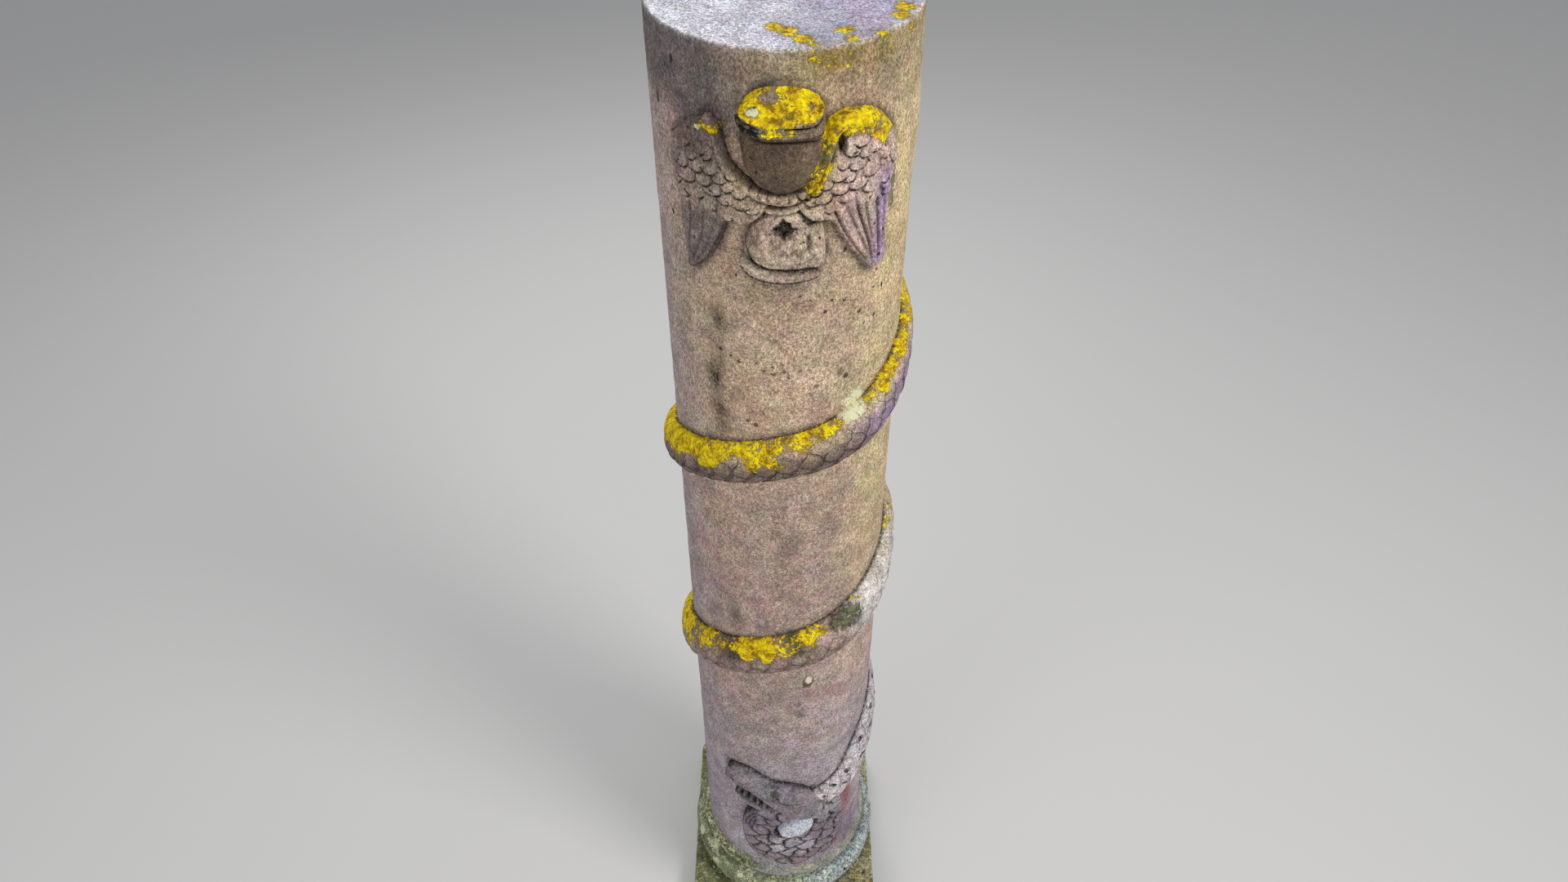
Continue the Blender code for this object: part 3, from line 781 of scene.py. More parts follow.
hourglass = {
    "window": (-54, 54, 1.588, 1.848),
    "spacing": 0.0009,
    # depth, cell and seed of the roughness, then cells and depth of the hollows that get painted shade
    "rough": ((0.00032, 0.006, 21), (0.0005, 0.022, 25)),
    "hollows": ((2, 0.0009), (8, 0.006)),
    "middle": -1.6,
    # height, half width left, half width right, proud
    "cap": [(1.793, 0.0425, 0.043, 0.034), (1.797, 0.0435, 0.0445, 0.0365), (1.84, 0.0435, 0.0445, 0.0365)],
    "upperBulb": [
        (1.7245, 0.002, 0.004, 0.012), (1.727, 0.013, 0.019, 0.0165), (1.7335, 0.0262, 0.0305, 0.02),
        (1.7395, 0.0305, 0.0382, 0.0225), (1.748, 0.0355, 0.044, 0.026), (1.758, 0.0388, 0.047, 0.0285),
        (1.776, 0.041, 0.0475, 0.0305), (1.8, 0.0415, 0.046, 0.031)],
    "lowerBulb": [
        (1.624, 0.039, 0.044, 0.018), (1.631, 0.0412, 0.049, 0.0285), (1.638, 0.0419, 0.0515, 0.03),
        (1.651, 0.0398, 0.0505, 0.0285), (1.668, 0.0356, 0.049, 0.0245), (1.685, 0.03, 0.0462, 0.019),
        (1.692, 0.024, 0.038, 0.016), (1.698, 0.018, 0.031, 0.0135), (1.703, 0.006, 0.012, 0.0115)],
    "foot": [
        (-14.8, 1.6435, 0.0055, 0.029), (-12.0, 1.6375, 0.0076, 0.0335), (-8.9, 1.6335, 0.0086, 0.035),
        (-5.2, 1.631, 0.009, 0.0355), (-1.4, 1.63, 0.0092, 0.0355), (3.0, 1.63, 0.009, 0.0355),
        (7.5, 1.6312, 0.0082, 0.0345), (11.0, 1.6325, 0.0062, 0.0325), (12.6, 1.6335, 0.004, 0.029)],
    "footLine": [
        (-16.2, 1.661), (-14.2, 1.6555), (-11.8, 1.6475), (-8.9, 1.6428), (-4.8, 1.64), (-0.4, 1.6392),
        (3.8, 1.6388), (8.0, 1.639), (11, 1.6368), (13.0, 1.6345)],
    "footShadow": [
        (-18.6, 1.6141), (-16.8, 1.6085), (-14.6, 1.604), (-11.1, 1.5999), (-5.8, 1.5963), (-0.5, 1.5951),
        (4.7, 1.597), (10.0, 1.6002), (13.9, 1.6054)],
    # across from the axis, where the top meets the shaft, and its slope
    "capTop": [
        (-0.045, 1.804, 0.12), (-0.041, 1.814, 0.12), (-0.036, 1.823, 0.14), (-0.029, 1.829, 0.39),
        (-0.0227, 1.833, 0.545), (-0.016, 1.835, 0.68), (-0.01, 1.836, 0.72), (0.007, 1.8366, 0.65),
        (0.0195, 1.835, 0.57), (0.029, 1.8325, 0.5), (0.036, 1.828, 0.32), (0.039, 1.827, 0.19),
        (0.045, 1.818, 0.19)],
    "lipLine": [
        (-19, 1.812), (-15.3, 1.806), (-11.7, 1.799), (-7.4, 1.796), (-2.9, 1.795), (3.4, 1.796),
        (9.4, 1.795),
        (11.3, 1.79), (13.1, 1.791), (16, 1.799)],
    "lipCrease": [(0.5, 1.8085), (2.1, 1.809), (5.8, 1.809), (9.8, 1.81), (12.5, 1.814)],
    # line, how far it is moved down, width, depth
    "cuts": (
        ("lipCrease", 0, 0.0012, 0.005), ("lipLine", 0.0022, 0.0016, 0.0065),
        ("footLine", 0, 0.0011, 0.0055),
        ("lipLine", -0.008, 0.0009, 0.0012)),
    # angle, height, width, how tall
    "eye": (0.1, 1.6832, 0.0115, 0.0098),
    "chip": (9.0, 1.668, 0.0035, 0.012),
}
yoke = {
    "arch": [
        (-30.5, 1.797, 0.004, 0.0135), (-27.6, 1.789, 0.0052, 0.0155), (-25.8, 1.7756, 0.0055, 0.0155),
        (-24.8, 1.7625, 0.0056, 0.0155), (-23.0, 1.7505, 0.0058, 0.0155), (-19.7, 1.7393, 0.006, 0.016),
        (-15.2, 1.7292, 0.0064, 0.0165), (-10.7, 1.7222, 0.007, 0.018), (-4.8, 1.7168, 0.0074, 0.0185),
        (1.3, 1.7158, 0.0076, 0.0185), (6.0, 1.7215, 0.0078, 0.0185), (10.4, 1.737, 0.0085, 0.0185),
        (13.7, 1.754, 0.0088, 0.0185), (15.8, 1.7687, 0.0088, 0.0185), (17.3, 1.783, 0.0085, 0.019),
        (20.0, 1.7945, 0.0085, 0.019), (27, 1.797, 0.01, 0.0195), (36, 1.789, 0.0115, 0.019),
        (44, 1.77, 0.01, 0.015), (50, 1.748, 0.006, 0.004)],
    "secondArc": [
        (-11.5, 1.711, 0.003, 0.0125), (-6.5, 1.704, 0.004, 0.016), (-1.5, 1.7015, 0.0042, 0.0165),
        (4.1, 1.705, 0.004, 0.016), (8, 1.71, 0.003, 0.013)],
    "hollow": (21.4, 1.777),
    "beadAngles": (-10.5, -7.2, -3.8, -0.4, 3.0, 6.3, 9.4),
}
leftWing = {
    "outline": [
        (-49.6, 1.766), (-47.6, 1.77), (-43.1, 1.78), (-38.6, 1.79), (-32.4, 1.796), (-29.3, 1.797),
        (-27.5, 1.795), (-26.6, 1.786), (-25.6, 1.77), (-23.4, 1.751), (-18.0, 1.736), (-12.0, 1.724),
        (-9, 1.717), (-6, 1.712), (-6.5, 1.703), (-9.5, 1.69), (-15.4, 1.678), (-22.3, 1.68), (-25.4, 1.661),
        (-29.1, 1.64), (-32.6, 1.623), (-37.6, 1.609), (-40.9, 1.601), (-44.4, 1.599), (-44.9, 1.616),
        (-45.7, 1.637), (-46.9, 1.662), (-46.4, 1.689), (-47.8, 1.708), (-49.7, 1.725), (-50.6, 1.744)],
    # short feathers: tip, half width and length in millimetres, lean
    "lobes": [
        (-17.1, 1.6844, 8.4, 13.9, -15), (-22.6, 1.6855, 9.7, 14.8, -8), (-29.8, 1.6924, 10.3, 14.8, -5),
        (-12.9, 1.7005, 7.8, 10.4, -20), (-17.2, 1.704, 10.7, 13.1, -12), (-22.3, 1.7058, 9.6, 12.2, -5),
        (-35.6, 1.7035, 12.0, 15.7, 0), (-27.6, 1.7133, 11.0, 11.3, -3), (-16.8, 1.7171, 8.0, 11.3, -5),
        (-21.5, 1.7212, 6.9, 12.2, -5), (-31.0, 1.7227, 9.4, 15.7, 0), (-25.0, 1.7295, 7.5, 11.3, -12),
        (-39.2, 1.7191, 12.1, 15.7, 5), (-41.5, 1.6975, 9.1, 15.7, 8), (-34.4, 1.7356, 9.3, 14.8, 0),
        (-28.2, 1.7376, 8.7, 8.7, 0), (-20.6, 1.7367, 6.4, 8.7, -30), (-40.5, 1.7586, 8.9, 7.8, 5),
        (-29.7, 1.7526, 6.8, 7.8, 0), (-36.4, 1.7481, 7.4, 8.7, 0), (-41.2, 1.7345, 9.0, 12.2, 8),
        (-32.1, 1.7577, 7.0, 8.7, 0), (-44.6, 1.712, 7.0, 14.0, 6), (-45.4, 1.735, 6.5, 13.0, 6)],
    "worn": 0.95,
    "quills": [
        [(-33.3, 1.684), (-34.6, 1.657), (-37.1, 1.638), (-40.7, 1.617)],
        [(-27.5, 1.682), (-30.7, 1.655), (-33.8, 1.636), (-39, 1.614)],
        [(-40.1, 1.692), (-40.7, 1.666), (-42.3, 1.642), (-43, 1.62)],
        [(-44.0, 1.755), (-46.2, 1.735), (-45.8, 1.712), (-43.8, 1.69)]],
    "quillDepth": 0.0014,
}
rightWing = {
    "outline": [
        (18.6, 1.799), (21.6, 1.805), (24.7, 1.808), (29.8, 1.805), (35.2, 1.801), (39.4, 1.79),
        (45.1, 1.774), (48.2, 1.764), (50, 1.744), (49.2, 1.726), (47.8, 1.708), (47.5, 1.688),
        (46.8, 1.666), (46.8, 1.636), (48.0, 1.617), (46.0, 1.605), (41.9, 1.601), (38.2, 1.602),
        (33.9, 1.618), (28.4, 1.639), (22.5, 1.663), (18.2, 1.682), (10, 1.69), (6, 1.7), (5, 1.71),
        (8, 1.722),
        (12, 1.738), (15.5, 1.752), (17.5, 1.772), (18.0, 1.788)],
    "lobes": [
        (14.8, 1.6912, 8.8, 14.8, 22), (10.6, 1.7108, 8.6, 8.7, 5), (18.9, 1.6991, 9.4, 15.7, 12),
        (14.6, 1.7122, 9.2, 13.9, 8), (24.3, 1.7079, 9.8, 12.2, 5), (20.9, 1.7196, 9.6, 13.1, 3),
        (28.2, 1.7207, 10.6, 15.7, 3), (35.0, 1.7116, 11.4, 15.7, 3), (34.5, 1.7316, 10.8, 18.3, 8),
        (27.8, 1.7437, 10.1, 17.4, 3), (24.3, 1.7324, 7.9, 13.9, 8), (20.0, 1.7351, 8.1, 13.9, 3),
        (15.4, 1.7284, 7.1, 12.2, 3), (31.8, 1.7556, 9.0, 10.4, 10), (25.5, 1.7605, 8.9, 13.1, 0),
        (21.8, 1.7484, 6.9, 13.1, 3), (36.5, 1.7584, 9.0, 12.2, 20), (44.8, 1.7186, 7.2, 27.8, 24),
        (43.7, 1.6979, 6.5, 24.4, 14), (11.2, 1.7228, 7.8, 11.3, 5), (10.5, 1.6884, 6.9, 12.2, 10),
        (29.4, 1.7692, 8.8, 9.6, 5), (41.4, 1.7157, 5.7, 19.1, 20), (42.1, 1.746, 6.9, 15.7, 35),
        (7.6, 1.719, 6.9, 8.7, 0), (47.0, 1.735, 5.5, 16.0, 22)],
    "worn": 1.0,
    "quills": [
        [(18.2, 1.705), (22, 1.681), (25.8, 1.66), (30.6, 1.639), (36.3, 1.617)],
        [(23.0, 1.709), (27.2, 1.682), (31.4, 1.658), (34.6, 1.638), (38.1, 1.615)],
        [(27.3, 1.713), (30.9, 1.684), (34.1, 1.66), (37.1, 1.638), (39.4, 1.615)],
        [(32.3, 1.706), (34.9, 1.677), (37.1, 1.654), (39.5, 1.63), (40.8, 1.614)],
        [(39.0, 1.697), (40.6, 1.671), (41.7, 1.649), (42.6, 1.631), (42.7, 1.615)],
        [(44.0, 1.69), (44.2, 1.668), (44.6, 1.645), (45.0, 1.625)]],
    "quillDepth": 0.0036,
}
feather = {
    "thickness": 0.0048, "reach": 1.55, "bow": 0.0066, "lip": 0.0022,
    # how far a wing stands out, by angle from the front, and its share of that by height
    "proudAcross": ((8, 22, 38, 50), (0.015, 0.0135, 0.0115, 0.0085)),
    "proudUp": ((1.6, 1.65, 1.69, 1.7), (0.62, 0.74, 0.84, 1)),
}


def turnedHalf(across, height, rows, power=3.2):
    heights, lefts, rights, prouds = np.array(rows).T
    width = np.where(across < 0, np.interp(height, heights, lefts), np.interp(height, heights, rights))
    share = np.clip(np.abs(across) / width, 0, 1)
    top = np.interp(height, heights, prouds) * (1 - share ** power) ** 0.6
    beyond = np.maximum.reduce((np.abs(across) - width, heights[0] - height, height - heights[-1]))
    return np.where(beyond < 0, top, -wallSlope * beyond)


def capParts(across, height):
    # distance from the glass's axis, the cap's rounded front, and the slanting cut across its top
    aside = across - arc(hourglass["middle"])
    lipX, lipY = onSheet(hourglass["lipLine"]).T
    capRows = hourglass["cap"]
    raised = np.where(height > np.interp(across, lipX, lipY), np.maximum(height, capRows[0][0]), 0)
    front = turnedHalf(aside, raised, capRows, 5.5)
    places, contacts, slopes = np.transpose(hourglass["capTop"])
    contact, slope = np.interp(aside, places, contacts), np.interp(aside, places, slopes)
    return aside, front, (contact - height) / slope


def carveHourglass(across, height):
    aside, cap, slant = capParts(across, height)
    form = np.maximum.reduce((
        np.minimum(cap, slant),
        np.minimum(turnedHalf(aside, height, hourglass["upperBulb"]), slant),
        turnedHalf(aside, height, hourglass["lowerBulb"]),
        roll(across, height, hourglass["foot"], 6.0),
    ))
    cut = sum(
        groove(across, height + rise, hourglass[line], width, depth)
        for line, rise, width, depth in hourglass["cuts"]
    )
    eyeAngle, eyeHeight, eyeWidth, eyeTall = hourglass["eye"]
    eyeAway = np.abs(across - arc(eyeAngle)) / eyeWidth + np.abs(height - eyeHeight) / eyeTall
    chipAngle, *chip = hourglass["chip"]
    chipAway = ovalAway(across, height, arc(chipAngle), *chip)
    ragged = 0.18 * np.sin(across * 900) + 0.15 * np.sin(height * 1300 + 1)
    cut = cut + 0.011 * smooth(eyeAway + ragged, 1.2, 0.7) + 0.003 * smooth(chipAway, 1.1, 0.4)
    return np.where(form > 0, np.maximum(form - cut, 0.001), form)


def carveWing(across, height, wing):
    depthIn = insideOutline(across, height, wing["outline"])
    proud = np.interp(np.abs(angleOf(across)), *feather["proudAcross"])
    proud *= np.interp(height, *feather["proudUp"])
    base = plate(depthIn, proud, 0.005)
    relief = np.zeros(len(across))
    for index, quill in enumerate(wing["quills"]):
        line, _ = smoothRows(quill, 0.004)
        depth = wing["quillDepth"] * (1.0, 0.55)[index % 2]
        gap, _, side = nearLine(across, height, line, 0.012)
        swell = 0.28 * np.where(side > 0, 1, -0.2) * bell(gap, 0.004, 0.003)
        relief += depth * (swell - bell(gap, 0, 0.0016))
    scallops, _ = carveLobes(across, height, wing)
    relief = relief * np.maximum(smooth(height, 1.712, 1.69), 0.25) + wing["worn"] * scallops
    return np.where(depthIn > 0, np.maximum(base + relief * smooth(depthIn, 0, 0.003), 0.0005), base)


def carveLobes(across, height, wing):
    # the short feathers' height over the wing, and the painted shadow crescent under each tip
    scallops, shadow = np.zeros((2, len(across)))
    for angle, tipY, halfWidth, length, lean in wing["lobes"]:
        tipX, lean = arc(angle), math.radians(lean)
        halfWidth, length = halfWidth / 1000, feather["reach"] * length / 1000
        close = np.maximum(np.abs(across - tipX), np.abs(height - tipY)) < length + 0.012
        x, y = across[close] - tipX, height[close] - tipY
        back = y * math.cos(lean) - x * math.sin(lean)
        aside = np.abs(x * math.cos(lean) + y * math.sin(lean))
        # a flat scale with a broad rounded tip
        bow = feather["bow"] * (1 - np.sqrt(np.clip(1 - (aside / halfWidth) ** 2, 0, 1)))
        edge = np.minimum((back - bow) * 0.9, halfWidth - aside)
        lying = 1 - np.clip(back / length, 0, 1)
        rise = feather["thickness"] * lying * np.sqrt(np.clip(edge / 0.0014, 0, 1))
        rise += 0.0007 * (1 - (aside / halfWidth) ** 2)
        rise -= 0.0009 * bell(edge, feather["lip"], 0.0006) * smooth(back, 0.01, 0.003)
        rise = np.where((edge > 0) & (lying > 0), rise, 0)
        scallops[close] = np.maximum(scallops[close], rise)
        crescent = bell(edge, -0.0009, 0.0013) * (back < 0.6 * feather["bow"] + 0.001) * (edge < 0.0006)
        shadow[close] = np.maximum(shadow[close], crescent)
    return scallops, shadow * smooth(scallops, feather["thickness"], 0.8 * feather["thickness"])


def beads(across, height):
    # for each bead along the yoke, the height of its middle and the distance from it
    line, _ = smoothRows(yoke["arch"], 0.002)
    for x in arc(yoke["beadAngles"]):
        y = np.interp(x, line[:, 0], line[:, 1]) + 0.0042
        yield y, np.hypot(across - x, (height - y) * 1.15)


def carveYoke(across, height):
    arch = roll(across, height, yoke["arch"])
    for _, away in beads(across, height):
        arch += 0.0034 * np.sqrt(np.clip(1 - (away / 0.0052) ** 2, 0, 1)) - 0.001 * bell(away, 0.0058, 0.0009)
    return np.maximum(arch, roll(across, height, yoke["secondArc"]))


def carveWingedHourglass(across, height):
    # one height over the shaft for the whole carving, going on down outside it
    arch = carveYoke(across, height)
    angle = angleOf(across)
    # the shoulders of the yoke die into the wings
    arch = np.where(arch > 0, arch * (0.7 + 0.3 * smooth(angle, 40, 18)), arch)
    form = np.maximum.reduce((*(carveWing(across, height, wing) for wing in (leftWing, rightWing)), arch))
    hollow = ovalAway(angle, height, *yoke["hollow"], 1.7, 0.013)
    form = np.where(form > 0, np.maximum(form - 0.01 * smooth(hollow, 1.1, 0.5), 0.001), form)
    return np.maximum(form, carveHourglass(across, height))


def makeWingedHourglass():
    mesh, across, height, proud, hollows = reliefGrid("winged_hourglass", hourglass, carveWingedHourglass)
    (hollow, facesUp), (deepHollow, _) = hollows
    points = meshPoints(mesh)
    angle = angleOf(across)
    drift = cloud(points, 0.012, 31)
    mottled = cloud(points, 0.01, 33) + cloud(points, 0.005, 34)
    aside, front, slant = capParts(across, height)
    onCap = front > 0.004
    raised = proud > 0.012
    wingShade = smooth(np.abs(angle), 19, 24)
    bulb = smooth(turnedHalf(aside, height, hourglass["upperBulb"]), 0.002, 0.006)
    bulb *= smooth(height, 1.805, 1.798)
    body = smooth(turnedHalf(aside, height, hourglass["lowerBulb"]), 0.004, 0.01)
    foot, _ = smoothRows(hourglass["foot"], 0.004)
    middle, half = (np.interp(across, foot[:, 0], foot[:, row]) for row in (1, 2))
    downPlate = (middle - height) / half
    onPlate = (np.abs(angle + 1.4) < 15.0) * (proud > 0.002)
    tint = glaze(
        stoneTint(points, angle, height),
        ((196, 168, 168), 0.55 * wingShade * smooth(angle, 0, 10)),
        ((146, 130, 124), 0.75 * wingShade * smooth(angle, 0, -10)),
        ((112, 104, 104), 0.6 * smooth(angle, -18, -24) * smooth(height, 1.695, 1.68)),
        ((196, 176, 158), 0.45 * (height < 1.705) * smooth(np.abs(aside), 0.054, 0.05)),
        ((94, 78, 62), 0.92 * bulb),
        ((56, 46, 40), 0.55 * bulb * smooth(mottled, 0.1, 0.9)),
        ((140, 112, 98), 0.35 * bulb * smooth(angle + 4 * mottled, 2, 10)),
        ((112, 98, 84), 0.6 * body * smooth(mottled, -0.1, 0.8)),
        (stoneTones["violet"], 0.75 * smooth(angle, 35, 43) * smooth(height, 1.75, 1.71)),
        # a painted highlight on the face of the foot plate
        ((180, 160, 142), 0.6 * onPlate * smooth(np.abs(downPlate), 0.8, 0.5)),
    )

    # painted shade in the hollows, in the eye and in the lines of the cap and foot, painted shadow under the
    # feathers' tips, and the cap's front face and left cheek darker
    onTop = smooth(slant - front, 0.001, -0.001) * onCap
    lipFace = (1 - onTop) * (height > 1.794) * smooth(proud, 0.01, 0.018) * onCap
    cheek = smooth(front - slant, 0.0035, -0.002) * smooth(height, 1.794, 1.797) * onCap
    leftLip = cheek * smooth(angle + 2 * drift, -5.5, -8) * smooth(proud, 0.006, 0.012)
    crescents = np.maximum(carveLobes(across, height, leftWing)[1], carveLobes(across, height, rightWing)[1])
    eyeAway = np.abs(angle - 0.1) / 4.6 + np.abs(height - 1.684) / 0.0112 + 0.15 * drift
    footLine = groove(across, height, hourglass["footLine"], 0.001, 1)
    lipLine = groove(across, height + 0.0018, hourglass["lipLine"], 0.0013, 1.6)
    crevice = groove(across, height, hourglass["lipCrease"], 0.0013, 1.5)
    dirtAndShade = np.maximum.reduce((
        0.95 * hollow + 0.45 * deepHollow,
        1.6 * crescents * smooth(proud, 0.004, 0.008),
        0.96 * leftLip,
        0.5 * lipFace,
        1.2 * smooth(eyeAway, 1.15, 0.8),
        raised * np.maximum.reduce((1.5 * footLine, lipLine, crevice)),
    ))
    # the painted shade is taken off the foot plate's face, which is kept light as a painted highlight
    dirtAndShade *= 1 - 0.9 * onPlate * smooth(np.abs(downPlate), 0.66, 0.5) * (1 - footLine)
    # painted shadow on the plate's lower half and under it, painted shade in the yoke's hollow and along the
    # upper side of each bead, and the top of the left wing darker
    dirtAndShade = np.maximum.reduce((
        dirtAndShade,
        1.3 * smooth(downPlate, 0.12, 0.38) * (downPlate < 2.4) * onPlate,
        0.85 * smooth(ovalAway(angle, height, *yoke["hollow"], 2.0, 0.015), 1.2, 0.6),
        0.55 * bell(angle, -36, 9) * smooth(height, 1.74, 1.765),
        *(0.9 * bell(away, 0.006, 0.0009) * (height > y) * (proud > 0.004) * (proud < 0.024)
          for y, away in beads(across, height)),
    ))

    # lichen on the cap, the right shoulder and strap, and the left wing's tip
    arch, where = smoothRows(yoke["arch"], 0.003)
    archGap, archRun, _ = nearLine(across, height, arch, 0.03)
    archAngle = np.interp(archRun, where, angleOf(arch[:, 0]))
    rightTop = smooth(archGap, 0.02, 0.011) * span(archAngle, 13, 19, 43, 47)
    strap = smooth(archGap, 0.013, 0.008) * span(archAngle, 5, 9, 18, 22)
    lipSpill = smooth(np.abs(angle + 2.5 + 2 * drift), 8, 4)
    lipSpill *= smooth(height, 1.794, 1.804) * smooth(proud, 0.02, 0.028)
    lichen = np.maximum((0.74 - 0.1 * smooth(height, 1.822, 1.836)) * onTop, 0.66 * lipSpill)
    lichen *= 1 - 0.8 * patch(angle, height, -5.5, 1.829, 3.2, 0.004)
    lichen = np.maximum.reduce((
        lichen, 0.7 * rightTop, 0.52 * strap, 0.68 * bell(angle, -28, 5.5) * bell(height, 1.788, 0.008),
        0.62 * bell(angle, -16.3, 1.8) * bell(height, 1.7335, 0.006),
    ))
    up = np.clip(facesUp / 0.0006, 0, 1)
    lichen = np.where(proud > -0.002, lichen * (0.86 + 0.14 * up) * (1 - leftLip), 0)

    # painted shade just inside the wings' outlines, away from the yoke, and dirt on the strap
    away = smooth(archGap, 0.008, 0.014) * smooth(height, 1.785, 1.765) * (0.8 + 0.35 * drift)
    for wing in (leftWing, rightWing):
        border = insideOutline(across, height, wing["outline"])
        dirtAndShade = np.maximum(dirtAndShade, 0.85 * away * bell(border, 0.002, 0.0014))
    dirtAndShade = np.maximum(dirtAndShade, 0.42 * strap * smooth(drift, -0.4, 0.5))

    pale = 0.74 * patch(angle, proud, -10.4, 0.0235, 3.0, 0.0085) * (height > 1.81)
    covered = smooth(pale, 0.35, 0.6)
    lichen *= 1 - covered
    dirtAndShade *= 1 - 0.7 * covered
    pale = np.maximum(pale, 0.95 * patch(angle, height, -33.0, 1.786, 2.2, 0.0045))
    moss = np.maximum(0.75 * patch(angle, height, 0, 1.683, 3.0, 0.006), 0.48 * strap)
    writePaint(mesh, tint, (lichen, dirtAndShade, pale, moss))
    return placePiece(mesh, sandstone, "column_shaft")


# The head at the foot of the shaft, over a fold of its own body

head = {
    "window": (-46, 58, 0.196, 0.566),
    "spacing": 0.0011,
    "rough": ((0.00045, 0.008, 41), (0.0006, 0.026, 45)),
    "hollows": ((2, 0.001), (7, 0.006)),
    "topLine": [
        (-39.9, 0.521), (-35.5, 0.53), (-24.5, 0.536), (-13.5, 0.522), (-7.4, 0.51), (2.5, 0.503),
        (13.1, 0.487), (21.7, 0.463), (27, 0.445), (31, 0.43)],
    "jawLine": [
        (-40, 0.489), (-38.5, 0.492), (-29.9, 0.49), (-20.9, 0.488), (-13.6, 0.471), (-7.4, 0.451),
        (2.2, 0.42), (12.9, 0.4), (22, 0.387), (31, 0.395)],
    "crown": [(-40, 0.02), (-30, 0.0245), (-13, 0.027), (-5, 0.028), (13, 0.028), (28, 0.025)],
    "lowerJaw": [
        (-32, 0.447, 0.005, 0.015), (-24, 0.434, 0.008, 0.018), (-16, 0.426, 0.0085, 0.0195),
        (-8, 0.417, 0.01, 0.0205)],
    "mouth": [(-31, 0.466, 0.02, 0.006), (-20, 0.456, 0.022, 0.007), (-10, 0.44, 0.018, 0.008)],
    "neck": [
        (18, 0.43, 0.03, 0.02), (32, 0.443, 0.03, 0.02), (47, 0.468, 0.031, 0.021),
        (60, 0.523, 0.032, 0.021)],
    "teeth": [(-29.6, 0.46), (-25.6, 0.453), (-21.2, 0.447), (-16.6, 0.441), (-12.4, 0.434)],
    "pits": [(-11.4, 0.509, 0.005), (-5.5, 0.497, 0.0032), (-4.1, 0.484, 0.0042)],
    "crack": [(-7.6, 0.514), (-7.2, 0.502), (-6.4, 0.49), (-6.2, 0.478)],
    "cheek": [(-3.4, 0.478), (1.6, 0.468), (6.0, 0.466), (11.0, 0.468)],
    "backOfHead": [(20, 0.466), (23.5, 0.452), (24.5, 0.435), (23.5, 0.418)],
    "cuts": (("crack", 0.0014, 0.0032), ("cheek", 0.0013, 0.0028), ("backOfHead", 0.0016, 0.003)),
}
fold = {
    "outline": [
        (-19.4, 0.42), (-27.2, 0.38), (-28.4, 0.332), (-26.2, 0.286), (-20.3, 0.256), (-11.6, 0.2355),
        (1.3, 0.218), (11.3, 0.2185), (21.2, 0.2325), (31.2, 0.243), (37.6, 0.279), (42.4, 0.32),
        (41.8, 0.378), (38.4, 0.424), (30, 0.43), (10, 0.445), (-8, 0.436)],
    "proud": 0.021,
    "edge": 0.009,
    "plates": [
        (-14.6, 0.352), (-8.5, 0.411), (-15.6, 0.388), (-6.4, 0.388), (-6.9, 0.364), (-12.9, 0.316),
        (-14.2, 0.283), (-4.1, 0.287), (-5.3, 0.323), (5.9, 0.31), (14.2, 0.292), (3.2, 0.272),
        (10.4, 0.262), (17.7, 0.326), (25.0, 0.279), (21.9, 0.355), (29.5, 0.305), (29.8, 0.342),
        (26.1, 0.378), (-0.5, 0.405), (-20.5, 0.3), (-22.5, 0.332), (-5.5, 0.252), (18.5, 0.255), (33, 0.38),
        (36, 0.34), (34, 0.3), (30, 0.41), (34, 0.428), (27, 0.432), (-19, 0.262),
        (9, 0.235), (-1, 0.232), (27, 0.25), (12, 0.345)],
}


def plateGaps(across, height):
    # distance to the edge between the two nearest plates of the fold
    first, second = np.full((2, len(across)), 9.0)
    wavyX, wavyY = across + 0.0025 * np.sin(height * 260), height + 0.002 * np.sin(across * 240)
    for x, y in onSheet(fold["plates"]):
        away = np.hypot(wavyX - x, wavyY - y)
        second = np.minimum(second, np.maximum(first, away))
        first = np.minimum(first, away)
    return (second - first) / 2


def headLine(angle, line):
    return np.interp(angle, *np.transpose(head[line]))


def carveSkull(across, height):
    angle = angleOf(across)
    degree = 0.00267      # metres on the sheet
    below = (headLine(angle, "topLine") - height) * 0.93
    above = (height - headLine(angle, "jawLine")) * 0.9
    snout, nape = (angle + 40.5) * degree, (31 - angle) * degree
    crown = headLine(angle, "crown")
    for depthIn, reach in ((below, 0.026), (above, 0.008), (snout, 0.008), (nape, 0.012)):
        crown = crown * (1 - (1 - np.clip(depthIn / reach, 0, 1)) ** 2.4)
    least = np.minimum.reduce((below, above, snout, nape))
    skull = np.where(least > 0, crown, wallSlope * least)
    cut = sum(
        0.005 * smooth(np.hypot(across - arc(pitAngle), height - y), size * 1.25, size * 0.4)
        for pitAngle, y, size in head["pits"]
    )
    for line, width, depth in head["cuts"]:
        cut = cut + groove(across, height, head[line], width, depth)
    return np.where(skull > 0, np.maximum(skull - cut, 0.001), skull)


def toothAway(across, height):
    return [ovalAway(across, height, x, y, 0.0036, 0.008) for x, y in onSheet(head["teeth"])]


def carveJaw(across, height):
    # the lower jaw, and the mouth's floor with its teeth
    teeth = roll(across, height, head["mouth"])
    for away in toothAway(across, height):
        tooth = 0.015 * np.sqrt(np.clip(1 - away ** 2, 0, 1)) + 0.003
        teeth = np.maximum(teeth, np.where(away < 1, tooth, -0.1))
    return np.maximum(roll(across, height, head["lowerJaw"]), np.where(angleOf(across) < -7, teeth, -0.1))


